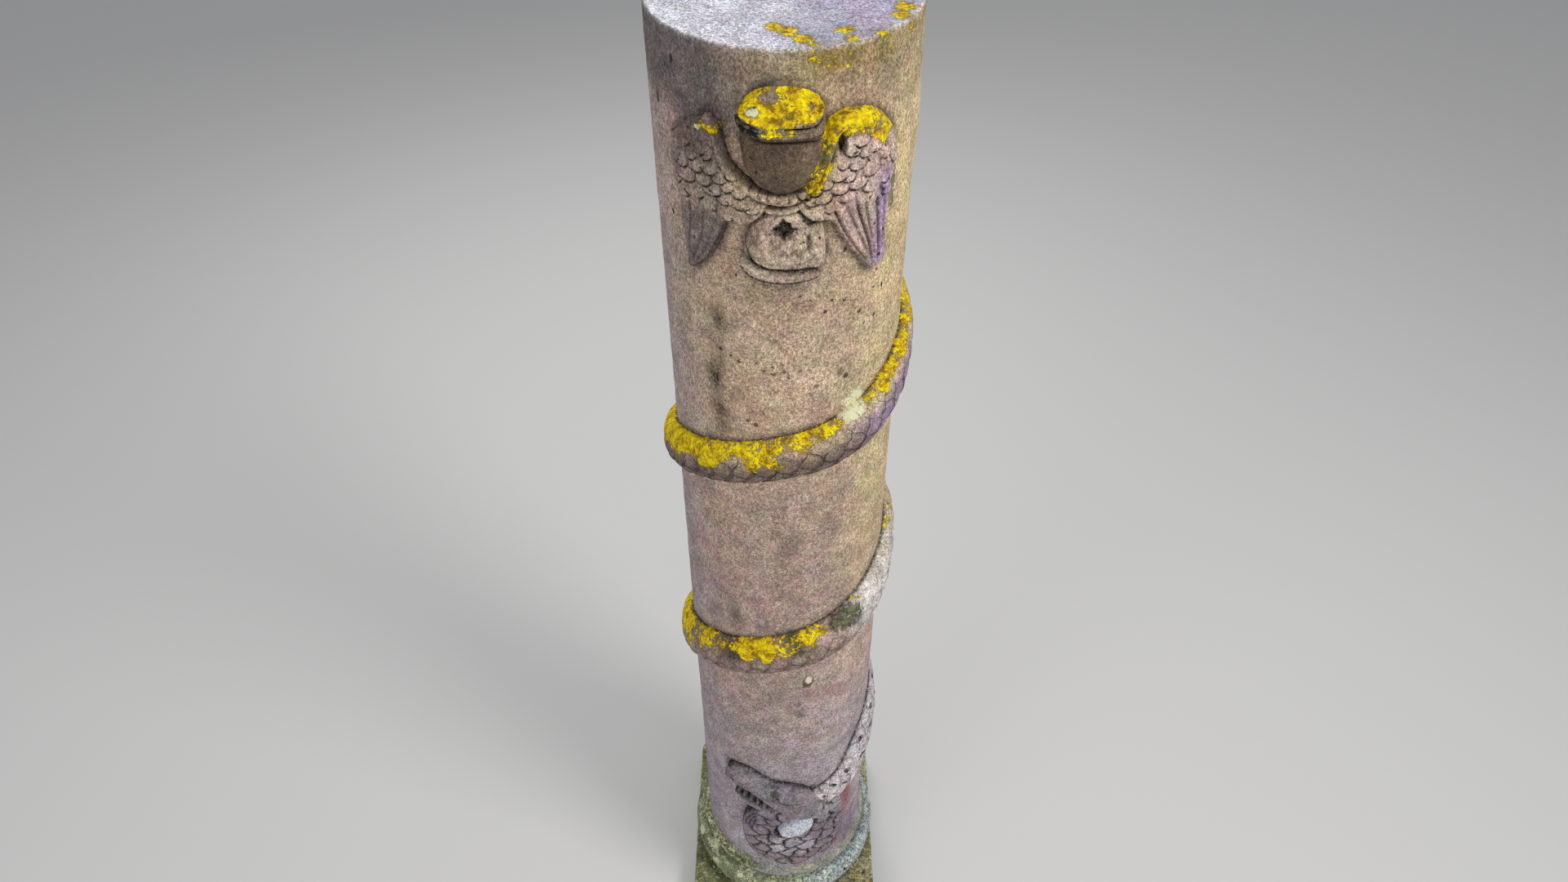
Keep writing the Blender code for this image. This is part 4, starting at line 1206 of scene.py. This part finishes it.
def carveFold(across, height):
    depthIn = insideOutline(across, height, fold["outline"])
    gaps = plateGaps(across, height)
    crown = 0.0044 * np.sqrt(np.clip(gaps / 0.006, 0, 1)) - 0.0026 * bell(gaps, 0, 0.0012) - 0.0022
    ridges = smooth(angleOf(across), -15, -19) * smooth(height, 0.345, 0.365)
    rings = 0.0018 * np.cos(depthIn / 0.0066 * math.tau) - 0.001
    relief = smooth(depthIn, 0, 0.005) * ((1 - ridges) * crown + ridges * rings)
    body = plate(depthIn, fold["proud"], fold["edge"])
    body = np.where(depthIn > 0, body + relief, body)
    boss = bossShape(across, height)
    body = np.where(boss > -0.35, np.minimum(body, 0.0185 - 0.002 * bell(boss, -0.12, 0.12)), body)
    return np.maximum(body, np.where(boss > 0, 0.031 * (1 - (1 - np.clip(boss, 0, 1)) ** 6), -0.1))


def carveHead(across, height):
    return np.maximum.reduce((
        carveSkull(across, height),
        carveJaw(across, height),
        roll(across, height, head["neck"], 2.6),
        carveFold(across, height),
    ))


def slotted(angle, height):
    return span(angle, -35, -32, -9, -6) * smooth(height, 0.415, 0.425)


def makeHead():
    mesh, across, height, proud, hollows = reliefGrid("serpent_head", head, carveHead)
    hollow, deepHollow = hollows[0][0], hollows[1][0]
    points = meshPoints(mesh)
    angle = angleOf(across)
    drift = cloud(points, 0.014, 51)
    border = insideOutline(across, height, fold["outline"])
    onFold = smooth(border, 0.004, 0.01) * smooth(height, 0.42, 0.4)
    lightPlates = smooth(ovalAway(angle, height, 6, 0.3, 17, 0.038) + 0.2 * drift, 1.1, 0.75)
    onBoss = smooth(bossShape(across, height), 0.0, 0.08)
    tint = glaze(
        stoneTint(points, angle, height),
        ((140, 130, 136), 0.9),
        ((112, 108, 96), 0.5 * smooth(drift, 0.0, 0.6) * smooth(height, 0.42, 0.46) * smooth(angle, 20, 0)),
        ((132, 122, 126), 0.45 * onFold * (1 - lightPlates)),
        ((198, 186, 192), 0.6 * onFold * lightPlates * smooth(plateGaps(across, height), 0.001, 0.005)),
        ((186, 178, 180), 0.55 * smooth(angle + 5 * drift, 14, 26) * smooth(height, 0.37, 0.42)),
        ((150, 132, 130), 0.4 * smooth(height, 0.29, 0.25) * smooth(angle, -20, -8)),
        ((212, 216, 226), 0.95 * onBoss),
    )
    down = headLine(angle, "topLine") - height
    onHead = span(angle, -41, -39, 20, 24)
    inside = 1 - onHead * bell(down, 0, 0.012)
    # where the painted shadow line along the fold's edge is drawn, higher up on the lower side
    lineAt = np.interp(height, (0.21, 0.25, 0.3, 0.36), (0.0082, 0.0066, 0.0042, 0.0015))
    mouth = slotted(angle, height) * span(proud, 0.001, 0.003, 0.009, 0.014) * smooth(down, 0.03, 0.038)
    toothed = np.maximum.reduce([smooth(away, 1.2, 0.8) for away in toothAway(across, height)])
    # painted shade in the hollows, in the mouth slot and along the head's top, and painted shadow lines along
    # the fold's border and its lower edge; the teeth stay light
    dirtAndShade = np.maximum.reduce((
        (0.95 * hollow ** 0.8 + 0.55 * deepHollow) * inside,
        1.2 * bell(border, lineAt, 0.003) * smooth(height, 0.43, 0.41),
        0.9 * smooth(border, 0.8 * lineAt, 0.4 * lineAt) * (border > -0.002) * smooth(height, 0.3, 0.26),
        0.92 * onHead * bell(down + 0.001 * drift, 0.001, 0.0026),
        0.95 * mouth,
    ))
    dirtAndShade *= 1 - 0.85 * toothed * slotted(angle, height)
    dirtAndShade = np.maximum(dirtAndShade, 0.35 * smooth(height, 0.47, 0.5) * smooth(drift, 0.1, 0.6))
    dirtAndShade *= 1 - 0.75 * onBoss
    pale = 0.95 * patch(angle, height, -32.8, 0.497, 1.4, 0.0055)
    moss = 0.4 * patch(angle, height, -8, 0.49, 4, 0.02)
    writePaint(mesh, tint, (np.zeros(len(angle)), dirtAndShade, pale, moss))
    return placePiece(mesh, sandstone, "column_shaft")


def bossShape(across, height):
    # 1 in the middle of the pale oval boss, 0 at its edge
    x = across - arc(7.5)
    return 1 - (x / 0.0312) ** 2 - ((height - 0.374 - 0.5 * x) / 0.03) ** 2


# The serpent's body: a long tube, half sunk in the shaft, with a net of worn scales

def makeSerpent():
    line, where = smoothRows(serpent["course"], serpent["ringGap"])
    arch, under = serpent["archSides"], serpent["baseSides"]
    sides = arch + under
    bm = bmesh.new()
    bmesh.ops.create_grid(bm, x_segments=len(line) - 1, y_segments=sides, size=0.5)
    bm.loops.layers.uv.new("scaleNet")
    mesh = meshOf(bm, "serpent_body")
    points = meshPoints(mesh)
    ring = np.round((points[:, 0] + 0.5) * (len(line) - 1)).astype(int)
    turn = np.round((points[:, 1] + 0.5) * sides).astype(int)

    step = np.gradient(line[:, :2], axis=0)
    step /= np.hypot(*step.T)[:, None]
    upward = np.stack((step[:, 1], -step[:, 0]), axis=-1)      # across the body, to its upper side
    upward *= np.sign(upward[:, 1])[:, None]

    def placed(offset, lift):
        across, height = (line[ring, :2] + upward[ring] * offset[:, None]).T
        return bend(across, height, lift)

    theta = np.radians(-90 + 180 * np.clip(turn / arch, 0, 1))
    power = 2 / serpent["sectionPower"]
    side = np.sign(np.sin(theta)) * np.abs(np.sin(theta)) ** power
    width, proud = line[ring, 2], line[ring, 3]
    offset, lift = side * width, np.abs(np.cos(theta)) ** power * proud
    # the hidden base comes back under the arch, inside the shaft
    backShare = np.clip((turn - arch) / under, 0, 1)
    hidden = (turn > arch) & (backShare < 1)
    offset = np.where(hidden, width * (1 - 2 * backShare) * 0.95, offset)
    offset = np.where(turn == sides, -width, offset)
    lift = np.where(hidden, -0.01, lift)
    lift = np.where((turn == 0) | (turn == arch) | (turn == sides), -0.003, lift)

    # a net of scales, each a little crowned, tiled and worn
    run, girth = where[ring] / serpent["scaleLength"], theta * (width + proud) * 0.45 / serpent["scaleWidth"]
    bow = 0.1 * np.cos(theta)
    nets = run + girth + bow, run - girth - bow
    nets = [one + 0.06 * np.sin(math.tau * other) for one, other in (nets, nets[::-1])]
    edge = np.minimum(*(np.abs((net + 0.5) % 1 - 0.5) * serpent["scaleLength"] * 0.7 for net in nets))
    place = placed(offset, lift)
    wear = smooth(cloud(place, 0.07, 61), -0.5, 0.5)
    low = smooth(theta, 0.6, -0.5)
    crown = (0.0006 + 0.0012 * low * (0.5 + 0.5 * wear)) * np.sqrt(np.clip(edge / 0.006, 0, 1))
    cut = 0.0013 * (0.35 + 0.65 * low) * bell(edge, 0, 0.0013)
    tiled = 0.0005 * low * (nets[0] % 1 + nets[1] % 1 - 1)
    ledge = 0.0012 * bell(np.degrees(theta), -68, 9) - 0.0008 * bell(np.degrees(theta), -52, 6)
    rough = 0.0006 * grit(place, 0.012, 3, 63) + 0.0011 * cloud(place, 0.045, 67)
    fade = smooth(width, 0.008, 0.026) * (np.abs(theta) < math.radians(84)) * ~hidden
    growth = (crown - cut + tiled + ledge + rough) * fade
    place = placed(offset + growth * side * 0.6, lift + growth * np.clip(np.cos(theta) * 1.2, 0.25, 1))
    movePoints(mesh, place)
    paintSerpent(mesh, angleOf(line[ring, 0]), np.degrees(theta), place, edge, low * fade, hidden)

    corners = np.empty(len(mesh.loops), int)
    mesh.loops.foreach_get("vertex_index", corners)
    mesh.uv_layers["scaleNet"].data.foreach_set("uv", np.stack(nets, axis=-1)[corners].ravel())

    bm = bmesh.new()
    bm.from_mesh(mesh)
    bmesh.ops.remove_doubles(bm, verts=bm.verts, dist=0.00002)
    closeHoles(bm)
    bm.to_mesh(mesh)
    bm.free()
    faceOutwards(mesh)
    return placePiece(mesh, scaledStone, "column_shaft")


# yellow lichen along the upper side: turned angle, strength, and how low on the section it reaches
lichenRuns = np.array((
    (262, 0.25, 40), (200, 0.5, 20), (130, 0.6, 34), (90, 0.62, 46), (62, 0.66, 54), (48, 0.5, 50),
    (41, 0.36, 44), (31, 0.46, 40), (22, 0.62, 30), (12, 0.64, 22), (6, 0.52, 20), (-2, 0.6, 14),
    (-12, 0.66, 2), (-22, 0.68, 22), (-36, 0.8, 18), (-50, 0.86, 10), (-83, 0.86, -8), (-120, 0.66, 0),
    (-180, 0.52, 10), (-240, 0.48, 14), (-277, 0.3, 40), (-300, 0.22, 50), (-316, 0.3, 55), (-324, 0.2, 50),
    (-331, 0.34, 46), (-336, 0.6, 38), (-346, 0.64, 22), (-350, 0.46, 14), (-356, 0.42, 10), (-361, 0.52, 6),
    (-364, 0.82, 6), (-379, 0.8, 8), (-385, 0.5, 14), (-392, 0.46, 14), (-399, 0.56, 16), (-402, 0.7, 18),
    (-406, 0.62, 12), (-412, 0.42, 4), (-420, 0.7, 2), (-443, 0.78, -2), (-470, 0.5, 10), (-540, 0.42, 20),
    (-600, 0.2, 40), (-704, 0.0, 60),
))
# gashes near the head: turned angle, section angle, and length along the body in degrees
gashes = (
    (-643, 46, 2.0), (-651, 14, 1.4), (-657, 52, 2.4), (-664, 4, 1.3), (-670, 46, 2.2), (-678, 12, 1.6),
    (-684, 50, 1.8), (-692, 20, 1.6), (-636, 20, 1.4), (-628, 50, 1.8),
)
# how plainly the net of scales still shows along the body
netShown = ((-262, -90, -30, 150, 230, 540, 620, 650), (0.6, 0.8, 1.0, 0.9, 0.42, 0.4, 0.6, 0.75))


def paintSerpent(mesh, turned, theta, points, edge, low, hidden):
    angle = (turned + 180) % 360 - 180
    drift = cloud(points, 0.016, 71)
    wide = cloud(points, 0.05, 73)
    # the body is darker below, and whitish where it nears the head
    tint = glaze(
        stoneTint(points, angle, points[:, 2]),
        ((102, 82, 80), 0.8 * smooth(theta, 36, -24) * smooth(turned, -230, -150)),
        ((116, 102, 94), 0.6 * smooth(theta, 30, -40) * smooth(turned, -620, -520)),
        ((236, 228, 222), 0.85 * smooth(turned, -330, -310) * smooth(turned, -250, -285)),
        ((216, 206, 208), 0.85 * smooth(turned, -580, -625)),
        (stoneTones["violet"], 0.65 * span(turned, 26, 46, 90, 130) * smooth(theta, 50, 10)),
        ((118, 110, 94), 0.6 * bell(turned, -411, 9) * smooth(theta, -20, 20)),
        ((104, 92, 70), 0.7 * bell(turned, -390, 6) * smooth(theta, -10, 20)),
    )

    strength, limit = (np.interp(-turned, -lichenRuns[:, 0], lichenRuns[:, row]) for row in (1, 2))
    limit = limit + 20 * drift + 14 * wide
    crust = 1.5 * patch(turned, theta, 37.5, 84, 7, 40)
    whitish = np.maximum(
        smooth(turned, -318, -300) * smooth(turned, -265, -290),
        smooth(turned, -585, -625) * smooth(turned, -704, -660))
    pale = np.maximum(crust, 0.26 * whitish * (0.8 + 0.5 * wide))
    dark = smooth(ovalAway(turned, theta, -320, 48, 12, 40) + 0.25 * drift, 1.15, 0.75)
    spots = smooth(cloud(points, 0.007, 77), 0.45, 0.7)
    lichen = strength * smooth(theta, limit - 16, limit + 10) * (1 - smooth(pale, 0.35, 0.6))
    lichen *= (1 - 0.8 * dark) * (1 - 0.5 * smooth(theta, 80, 90))
    # a dark patch, and painted shade in the grooves between the scales on the lower side
    dirtAndShade = [0.78 * dark * (1 - 0.8 * spots) + 0.55 * low * bell(edge, 0, 0.0016)]
    for gashTurned, gashTheta, length in gashes:
        away = ovalAway(turned + 0.05 * (theta - gashTheta), theta, gashTurned, gashTheta, length, 13)
        dirtAndShade.append(0.95 * smooth(away + 0.3 * drift, 1.2, 0.6))
    browned = (
        0.8 * bell(turned, -384, 6) * smooth(theta, -4, 14)
        + 0.8 * bell(turned, -351, 6) * smooth(theta, -6, 14)
        + 0.5 * bell(turned, 3, 3) * smooth(theta, 40, 60))
    # painted shade along the body's edges where it meets the shaft, and the underside of the lower coils
    # darker
    dirtAndShade = np.maximum.reduce((
        *dirtAndShade, browned, 0.85 * smooth(theta, 74, 88), 0.8 * smooth(theta, -66, -84),
        0.4 * smooth(theta, -30, -62) * smooth(turned, -560, -420),
    ))
    dirtAndShade *= 1 - smooth(crust, 0.3, 0.6)
    moss = (
        0.5 * bell(turned, -352, 7) * smooth(theta, -10, 10)
        + 0.5 * dark * (1 - spots)
        + 0.3 * bell(turned, 44, 8) * smooth(theta, 30, 50))
    netShare = np.interp(-turned, *netShown)
    netShare = netShare * np.maximum(0.35 + 0.65 * smooth(theta, 40, 0), smooth(turned, -600, -640))
    writePaint(mesh, tint, [growth * ~hidden for growth in (lichen, dirtAndShade, pale, moss)], netShare)


# The shaft's own skin

def shaftProfile():
    bottom, rounding = column["bottom"], column["rimRounding"]
    filletTop = bottom + column["filletHeight"]
    flareTop = filletTop + column["flareHeight"]
    profile = [(radius, bottom) for radius in (0.012, 0.05, 0.09, 0.125, 0.15)]
    for height in np.linspace(bottom, filletTop, 5):
        bulge = 0.001 * math.sin(math.pi * (height - bottom) / column["filletHeight"])
        profile.append((column["filletRadius"] - 0.0012 + bulge, height))
    for turn in np.radians(np.linspace(90, 0, 9)):
        spread = column["footRadius"] + (column["flareRadius"] - column["footRadius"]) * (1 - math.cos(turn))
        profile.append((spread, flareTop - column["flareHeight"] * math.sin(turn)))
    rimFoot = column["top"] - rounding
    rows = int((rimFoot - flareTop) / column["rowHeight"])
    # rows lie closer together behind the carving
    crowd = np.interp(np.linspace(0, 1, rows), (0, 0.3, 0.66, 1), (flareTop, 0.56, 1.58, rimFoot))
    profile += [(float(shaftRadius(height)), height) for height in crowd[1:]]
    rimRadius = column["topRadius"] - rounding
    for turn in np.radians((22, 45, 68, 90)):
        profile.append((rimRadius + rounding * math.cos(turn), rimFoot + rounding * math.sin(turn)))
    profile += [(radius, column["top"]) for radius in np.arange(rimRadius - 0.005, 0.01, -column["topRing"])]
    return profile


def spun(bm, steps, name):
    # a profile turned once round the column's axis
    bmesh.ops.spin(
        bm, geom=bm.verts[:] + bm.edges[:], cent=(0, 0, 0), axis=(0, 0, 1), angle=math.tau,
        steps=steps, use_merge=True)
    closeHoles(bm)
    mesh = meshOf(bm, name)
    faceOutwards(mesh)
    return mesh, meshPoints(mesh)


# lichen spots on the top face: place and size
topSpots = (
    (-0.01, -0.097, 0.011), (0.005, -0.11, 0.014), (0.017, -0.127, 0.012), (0.028, -0.137, 0.009),
    (0.061, -0.103, 0.011), (0.067, -0.123, 0.01), (0.126, -0.048, 0.016), (0.119, -0.071, 0.011),
    (0.097, -0.113, 0.008),
)


def makeShaft():
    bm = bmesh.new()
    verts = [bm.verts.new((radius, 0, height)) for radius, height in shaftProfile()]
    for pair in zip(verts, verts[1:]):
        bm.edges.new(pair)
    mesh, points = spun(bm, column["steps"], "shaft_stone")
    turn, spread = np.arctan2(points[:, 0], -points[:, 1]), np.hypot(points[:, 0], points[:, 1])
    turn -= 0.42 * np.sin(turn)      # columns of faces lie closer together at the front
    points[:, :2] = np.stack((spread * np.sin(turn), -spread * np.cos(turn)), axis=-1)
    x, y, height = points.T
    radius = np.hypot(x, y)
    angle = np.degrees(turn)
    outward = np.stack((x, y, 0 * x), axis=-1) / np.maximum(radius, 0.001)[:, None]
    side = smooth(radius, 0.12, 0.145)
    above = height - column["bottom"]
    down = column["top"] - height

    waves = sum(
        depth * cloud(points, cell, seed)
        for depth, cell, seed in ((0.0005, 0.075, 11), (0.00035, 0.024, 12), (0.0002, 0.01, 13))
    )
    swelling = 0.003 * bell(angle, 93, 20) * bell(height, 1.735, 0.045)
    chipDepth = 0.004 + 0.007 * smooth(angle, -35, -70) * smooth(angle, -150, -110)
    chips = smooth(down, 0.02, 0.002) * side * np.clip(grit(points, 0.02, 2, 15) - 0.1, 0, 1) * chipDepth
    moved = points + outward * ((waves * smooth(above, 0.002, 0.012) + swelling - chips) * side)[:, None]
    uneven = 0.0006 * cloud(points, 0.03, 16) + 0.0006 * cloud(points, 0.011, 17) - 0.0012
    moved[:, 2] += smooth(down, 0.0005, 0.0001) * uneven - 0.9 * chips
    movePoints(mesh, moved)

    # how far the carving, the head and the body are from each point
    relief, headRelief = np.full(len(x), -0.1), np.full(len(x), -wallSlope)
    near = (np.abs(angle) < 62) & (height > 1.56) & (height < 1.87)
    relief[near] = carveWingedHourglass(arc(angle[near]), height[near])
    low = (np.abs(angle) < 66) & (height < 0.6)
    headRelief[low] = carveHead(arc(angle[low]), height[low])
    gap, headGap = (np.clip(-form / wallSlope, 0, 1) for form in (relief, headRelief))
    bodyGap = serpentGap(angle, height)

    topFace = smooth(down, 0.004, 0.0005) * smooth(radius, 0.1503, 0.1485)
    whiten = smooth(x + 0.02 * cloud(points, 0.03, 18), 0.06, -0.06)
    topTone = blend(np.tile(tone(186, 180, 198), (len(x), 1)), tone(226, 224, 234), whiten)
    maroon = np.maximum(
        bell(angle, 51, 7) * bell(height, 0.36, 0.09),
        bell(angle - 300 * (height - 0.205), 38, 6) * bell(height, 0.208, 0.02))
    joint = bell(above, 0.0145, 0.003) * side
    tint = glaze(
        blend(stoneTint(points, angle, height), topTone, topFace),
        ((232, 228, 226), 0.6 * bell(radius, 0.1475, 0.004) * bell(down, 0, 0.004)),
        ((158, 78, 76), 0.85 * maroon),
        ((120, 104, 140), 0.5 * bell(angle, 56, 12) * span(height, 0.15, 0.18, 0.24, 0.3)),
        ((188, 192, 194), 0.5 * smooth(height, 0.3, 0.22) * smooth(np.abs(angle + 22), 34, 12)),
        ((150, 124, 56), 0.55 * bell(down, 0.014, 0.018) * span(angle, 0, 14, 42, 60) * side),
        ((176, 186, 146), 0.75 * joint),
    )

    ragged = 0.8 + 0.35 * cloud(points, 0.009, 20)
    footShadow = groove(arc(angle), height - 0.001, hourglass["footShadow"], 0.003, 0.55)
    crust = patch(angle, height, 35.8, 1.402, 6.2, 0.0175)
    mossy = smooth(height, 0.215, 0.165) * smooth(angle, 5, -40) * smooth(angle, -178, -130)
    # water stains, painted shade where the carving, the head and the body meet the shaft, the painted shadow
    # under the foot plate, and darker towards the bottom
    dirtAndShade = np.maximum.reduce((
        columnStains(points, angle, height),
        0.7 * ragged * bell(gap, 0, 0.006),
        0.4 * ragged * bell(headGap, 0, 0.007),
        0.6 * ragged * bell(np.maximum(bodyGap, 0), 0, 0.004),
        footShadow * smooth(angle, 14, 2),
        0.35 * smooth(height, 0.26, 0.19) * (0.5 + 0.5 * cloud(points, 0.02, 19)),
    ))
    dirtAndShade = np.maximum(dirtAndShade * (1 - crust), 0.5 * mossy)

    lichen = np.maximum.reduce([0.8 * patch(x, y, *middle, size, size) for *middle, size in topSpots])
    underRim = bell(down, 0.012, 0.02) * np.maximum(bell(angle, 18, 16), bell(angle, 62, 12)) * side
    lichen = np.maximum.reduce((
        lichen * smooth(down, 0.01, 0.003),
        0.42 * underRim,
        0.45 * smooth(bodyGap, 0.02, 0) * bell(angle, 80, 50) * smooth(height, 1.3, 1.36),
    )) * (1 - crust)

    # a sliver of green and white beside the right wing, and the cream crust on the coil
    sliver = bell(angle, 52, 2.6) * span(height, 1.655, 1.675, 1.735, 1.755)
    pale = np.maximum.reduce((
        patch(x, y, 0.064, -0.102, 0.01, 0.006) * topFace,
        0.95 * sliver * smooth(height, 1.7, 1.73),
        1.3 * crust,
        0.5 * mossy,
    ))
    moss = np.maximum.reduce((0.85 * sliver, 0.8 * mossy, 0.15 * joint))
    pitted = side * np.maximum.reduce((
        bell(height + 0.0006 * angle, 1.473, 0.014) * span(angle, -30, -22, 14, 22),
        bell(height, 1.575, 0.02) * span(angle, 0, 12, 44, 52),
        bell(height, 1.35 + 0.001 * angle, 0.014) * bell(angle, -6, 14),
        0.12 + 0.6 * smooth(np.abs(angle + 48), 14, 4) * smooth(height, 1.5, 1.6),
    ))
    writePaint(mesh, tint, (lichen, dirtAndShade, pale, moss), pitted)
    return placePiece(mesh, sandstone, "column_shaft")


# The torus and the square plinth under the shaft, one stone

base = {
    "plinthHeight": 0.07,
    "edge": 0.004,
    "torusCentre": 0.148,
    "torusRadius": 0.039,
    "ringSteps": 300,
    "tubeSteps": 64,
    "cuts": 46,
}


def baseTones(points):
    right = smooth(points[:, 0] + 0.02 * cloud(points, 0.05, 83), -0.02, 0.09)
    colour = glaze(np.tile(tone(174, 182, 146), (len(points), 1)), ((180, 190, 188), right))
    return colour * (1 + 0.14 * cloud(points, 0.022, 81))[:, None]


# whitish patches on the torus: angle, height and width in degrees
palePatches = ((-57, 0.14, 5), (-50, 0.118, 3.5), (-30, 0.132, 3), (-72, 0.128, 4), (-41, 0.098, 4))


def makeTorus():
    centre, tube = base["torusCentre"], base["torusRadius"]
    middleHeight = base["plinthHeight"] + tube
    bm = bmesh.new()
    bmesh.ops.create_circle(bm, cap_ends=False, segments=base["tubeSteps"], radius=tube)
    for vert in bm.verts:
        vert.co = (centre + vert.co.x, 0, middleHeight + vert.co.y)
    mesh, points = spun(bm, base["ringSteps"], "torus_stone")
    x, y, height = points.T
    angle, radius = np.degrees(np.arctan2(x, -y)), np.hypot(x, y)
    middle = points * (centre / radius)[:, None]
    middle[:, 2] = middleHeight
    outward = (points - middle) / tube
    rough = 0.0009 * cloud(points, 0.05, 85) + 0.0006 * grit(points, 0.012, 3, 86) - 0.0008
    outer = smooth(radius, 0.155, 0.168)
    movePoints(mesh, points + outward * (rough * outer)[:, None])
    left = smooth(angle + 20 * cloud(points, 0.06, 88), 35, -30) * smooth(angle, -178, -120)
    moss = 0.34 + 0.3 * left - 0.12 * smooth(height, 0.1, 0.14)
    pale = np.maximum.reduce((
        0.26 + 0.2 * left * cloud(points, 0.03, 89) + 0.08 * left,
        *(patch(angle, height, *oval, 0.01) for oval in palePatches),
    ))
    # painted shade in the crease over the plinth and where the shaft sits on the torus
    dirtAndShade = 0.75 * smooth(height, 0.098, 0.078) * outer
    dirtAndShade += 0.55 * bell(radius, 0.166, 0.006) * smooth(height, 0.13, 0.14)
    writePaint(mesh, baseTones(points), (0 * moss, dirtAndShade, pale, moss))
    return placePiece(mesh, baseStone, "torus_plinth")


def makePlinth():
    side, tall = baseHigh[0] - baseLow[0], base["plinthHeight"]
    half = side / 2
    bm = bmesh.new()
    bmesh.ops.create_cube(bm, size=1)
    bmesh.ops.scale(bm, vec=(side, side, tall), verts=bm.verts)
    bmesh.ops.translate(bm, vec=(0, 0, tall / 2), verts=bm.verts)
    bmesh.ops.bevel(
        bm, geom=bm.edges[:], offset=base["edge"], offset_type="OFFSET", segments=3, profile=0.5,
        affect="EDGES", material=-1)
    for length, cuts in ((half, base["cuts"]), (tall / 2, 8)):
        edges = [edge for edge in bm.edges if edge.calc_length() > length]
        bmesh.ops.subdivide_edges(bm, edges=edges, cuts=cuts, use_grid_fill=True)
    bmesh.ops.triangulate(bm, faces=[face for face in bm.faces if len(face.verts) > 4])
    mesh = meshOf(bm, "plinth_stone")
    faceOutwards(mesh)
    points = meshPoints(mesh)
    x, y, height = points.T
    radius = np.hypot(x, y)
    edgeX, edgeY = half - np.abs(x), half - np.abs(y)
    topEdge = smooth(height, 0.05, 0.068)
    sideways = np.maximum(smooth(edgeX, 0.003, 0.0005), smooth(edgeY, 0.003, 0.0005))
    chips = np.clip(grit(points, 0.016, 3, 91) - 0.25, 0, 1) * topEdge * sideways
    corner = bell(edgeX, 0, 0.012) * bell(edgeY, 0, 0.012) * topEdge
    wear = 0.0035 * chips + 0.0025 * corner + 0.0006 * (1 + cloud(points, 0.02, 93)) * (height > 0.002)
    inwards = np.stack((-np.sign(x) * (edgeX < 0.006), -np.sign(y) * (edgeY < 0.006), 0 * x), axis=-1)
    moved = points + inwards * wear[:, None]
    onTop = smooth(height, 0.066, 0.0695)
    uneven = 0.0007 * cloud(points, 0.03, 95) + 0.0004 * cloud(points, 0.011, 96) - 0.0008
    moved[:, 2] += onTop * (uneven - 0.003 * chips)
    movePoints(mesh, moved)
    tint = glaze(
        baseTones(points),
        ((156, 136, 72), 0.7 * onTop),
        ((170, 148, 84), 0.5 * onTop * smooth(cloud(points, 0.03, 97), 0.0, 0.5)),
    )
    moss = onTop * (0.3 + 0.35 * smooth(x, 0.09, -0.1)) + (1 - onTop) * 0.45
    pale = 0.36 + 0.12 * cloud(points, 0.02, 98)
    # painted shade on the top round the torus, and darker towards the bottom
    dirtAndShade = 0.65 * bell(radius, 0.168, 0.018) * onTop + 0.5 * smooth(height, 0.03, 0.0)
    rust = 0.95 * bell(np.hypot(x + 0.15, y - 0.172), 0, 0.022)
    writePaint(mesh, tint, (rust, dirtAndShade, pale, moss))
    return placePiece(mesh, baseStone, "torus_plinth")


makeShaft()
makeWingedHourglass()
makeSerpent()
makeHead()
makeTorus()
makePlinth()


# Floor, light and camera

studio = {
    "cameraPlace": (0.0, -1.174, 2.34),
    "cameraTilt": 46.1,
    "lens": 25.48,
    "floorSize": 12.0,
    "floorTone": (0.72, 0.71, 0.69),
    "lightTarget": (0, 0, 1.0),
    # place, size, power
    "lights": {
        "keyLight": ((2.1, -1.4, 3.9), 1.3, 66),
        "fillLight": ((-2.2, -2.4, 2.2), 2.0, 19),
        "lowLight": ((0.6, -2.8, 0.8), 1.6, 12),
        "backLight": ((-0.6, 2.4, 2.9), 2.0, 34),
    },
    "sky": (0.93, 0.95, 1.0),
    "skyStrength": 0.36,
}


def addThing(name, data, place=(0, 0, 0), turn=(0, 0, 0)):
    thing = bpy.data.objects.new(name, data)
    thing.location = place
    thing.rotation_euler = turn
    bpy.context.scene.collection.objects.link(thing)
    return thing


def makeFloor():
    bm = bmesh.new()
    bmesh.ops.create_grid(bm, x_segments=1, y_segments=1, size=studio["floorSize"] / 2)
    mesh = meshOf(bm, "floor")
    plain = bpy.data.materials.new("pale_floor")
    plain.use_nodes = True
    shader = plain.node_tree.nodes["Principled BSDF"].inputs
    shader["Base Color"].default_value = (*studio["floorTone"], 1)
    shader["Roughness"].default_value = 0.9
    mesh.materials.append(plain)
    floor = addThing("floor", mesh)


def makeStudio():
    world = bpy.data.worlds.new("studio")
    bpy.context.scene.world = world
    world.use_nodes = True
    background = world.node_tree.nodes["Background"]
    background.inputs["Color"].default_value = (*studio["sky"], 1)
    background.inputs["Strength"].default_value = studio["skyStrength"]

    for name, (place, size, power) in studio["lights"].items():
        light = bpy.data.lights.new(name, "AREA")
        light.shape = "DISK"
        light.size = size
        light.energy = power
        addThing(name, light, place, aimAt(place, studio["lightTarget"]))

    camera = bpy.data.cameras.new("camera")
    camera.lens = studio["lens"]
    camera.sensor_width = 36
    camera.clip_start = 0.02
    bpy.context.scene.camera = addThing(
        "camera", camera, studio["cameraPlace"], (math.radians(studio["cameraTilt"]), 0, 0))
    bpy.context.scene.view_settings.view_transform = "Standard"


def aimAt(place, target):
    away = np.subtract(place, target)
    return (math.acos(away[2] / np.linalg.norm(away)), 0, math.atan2(away[0], -away[1]))


makeFloor()
makeStudio()
print("studio ready")
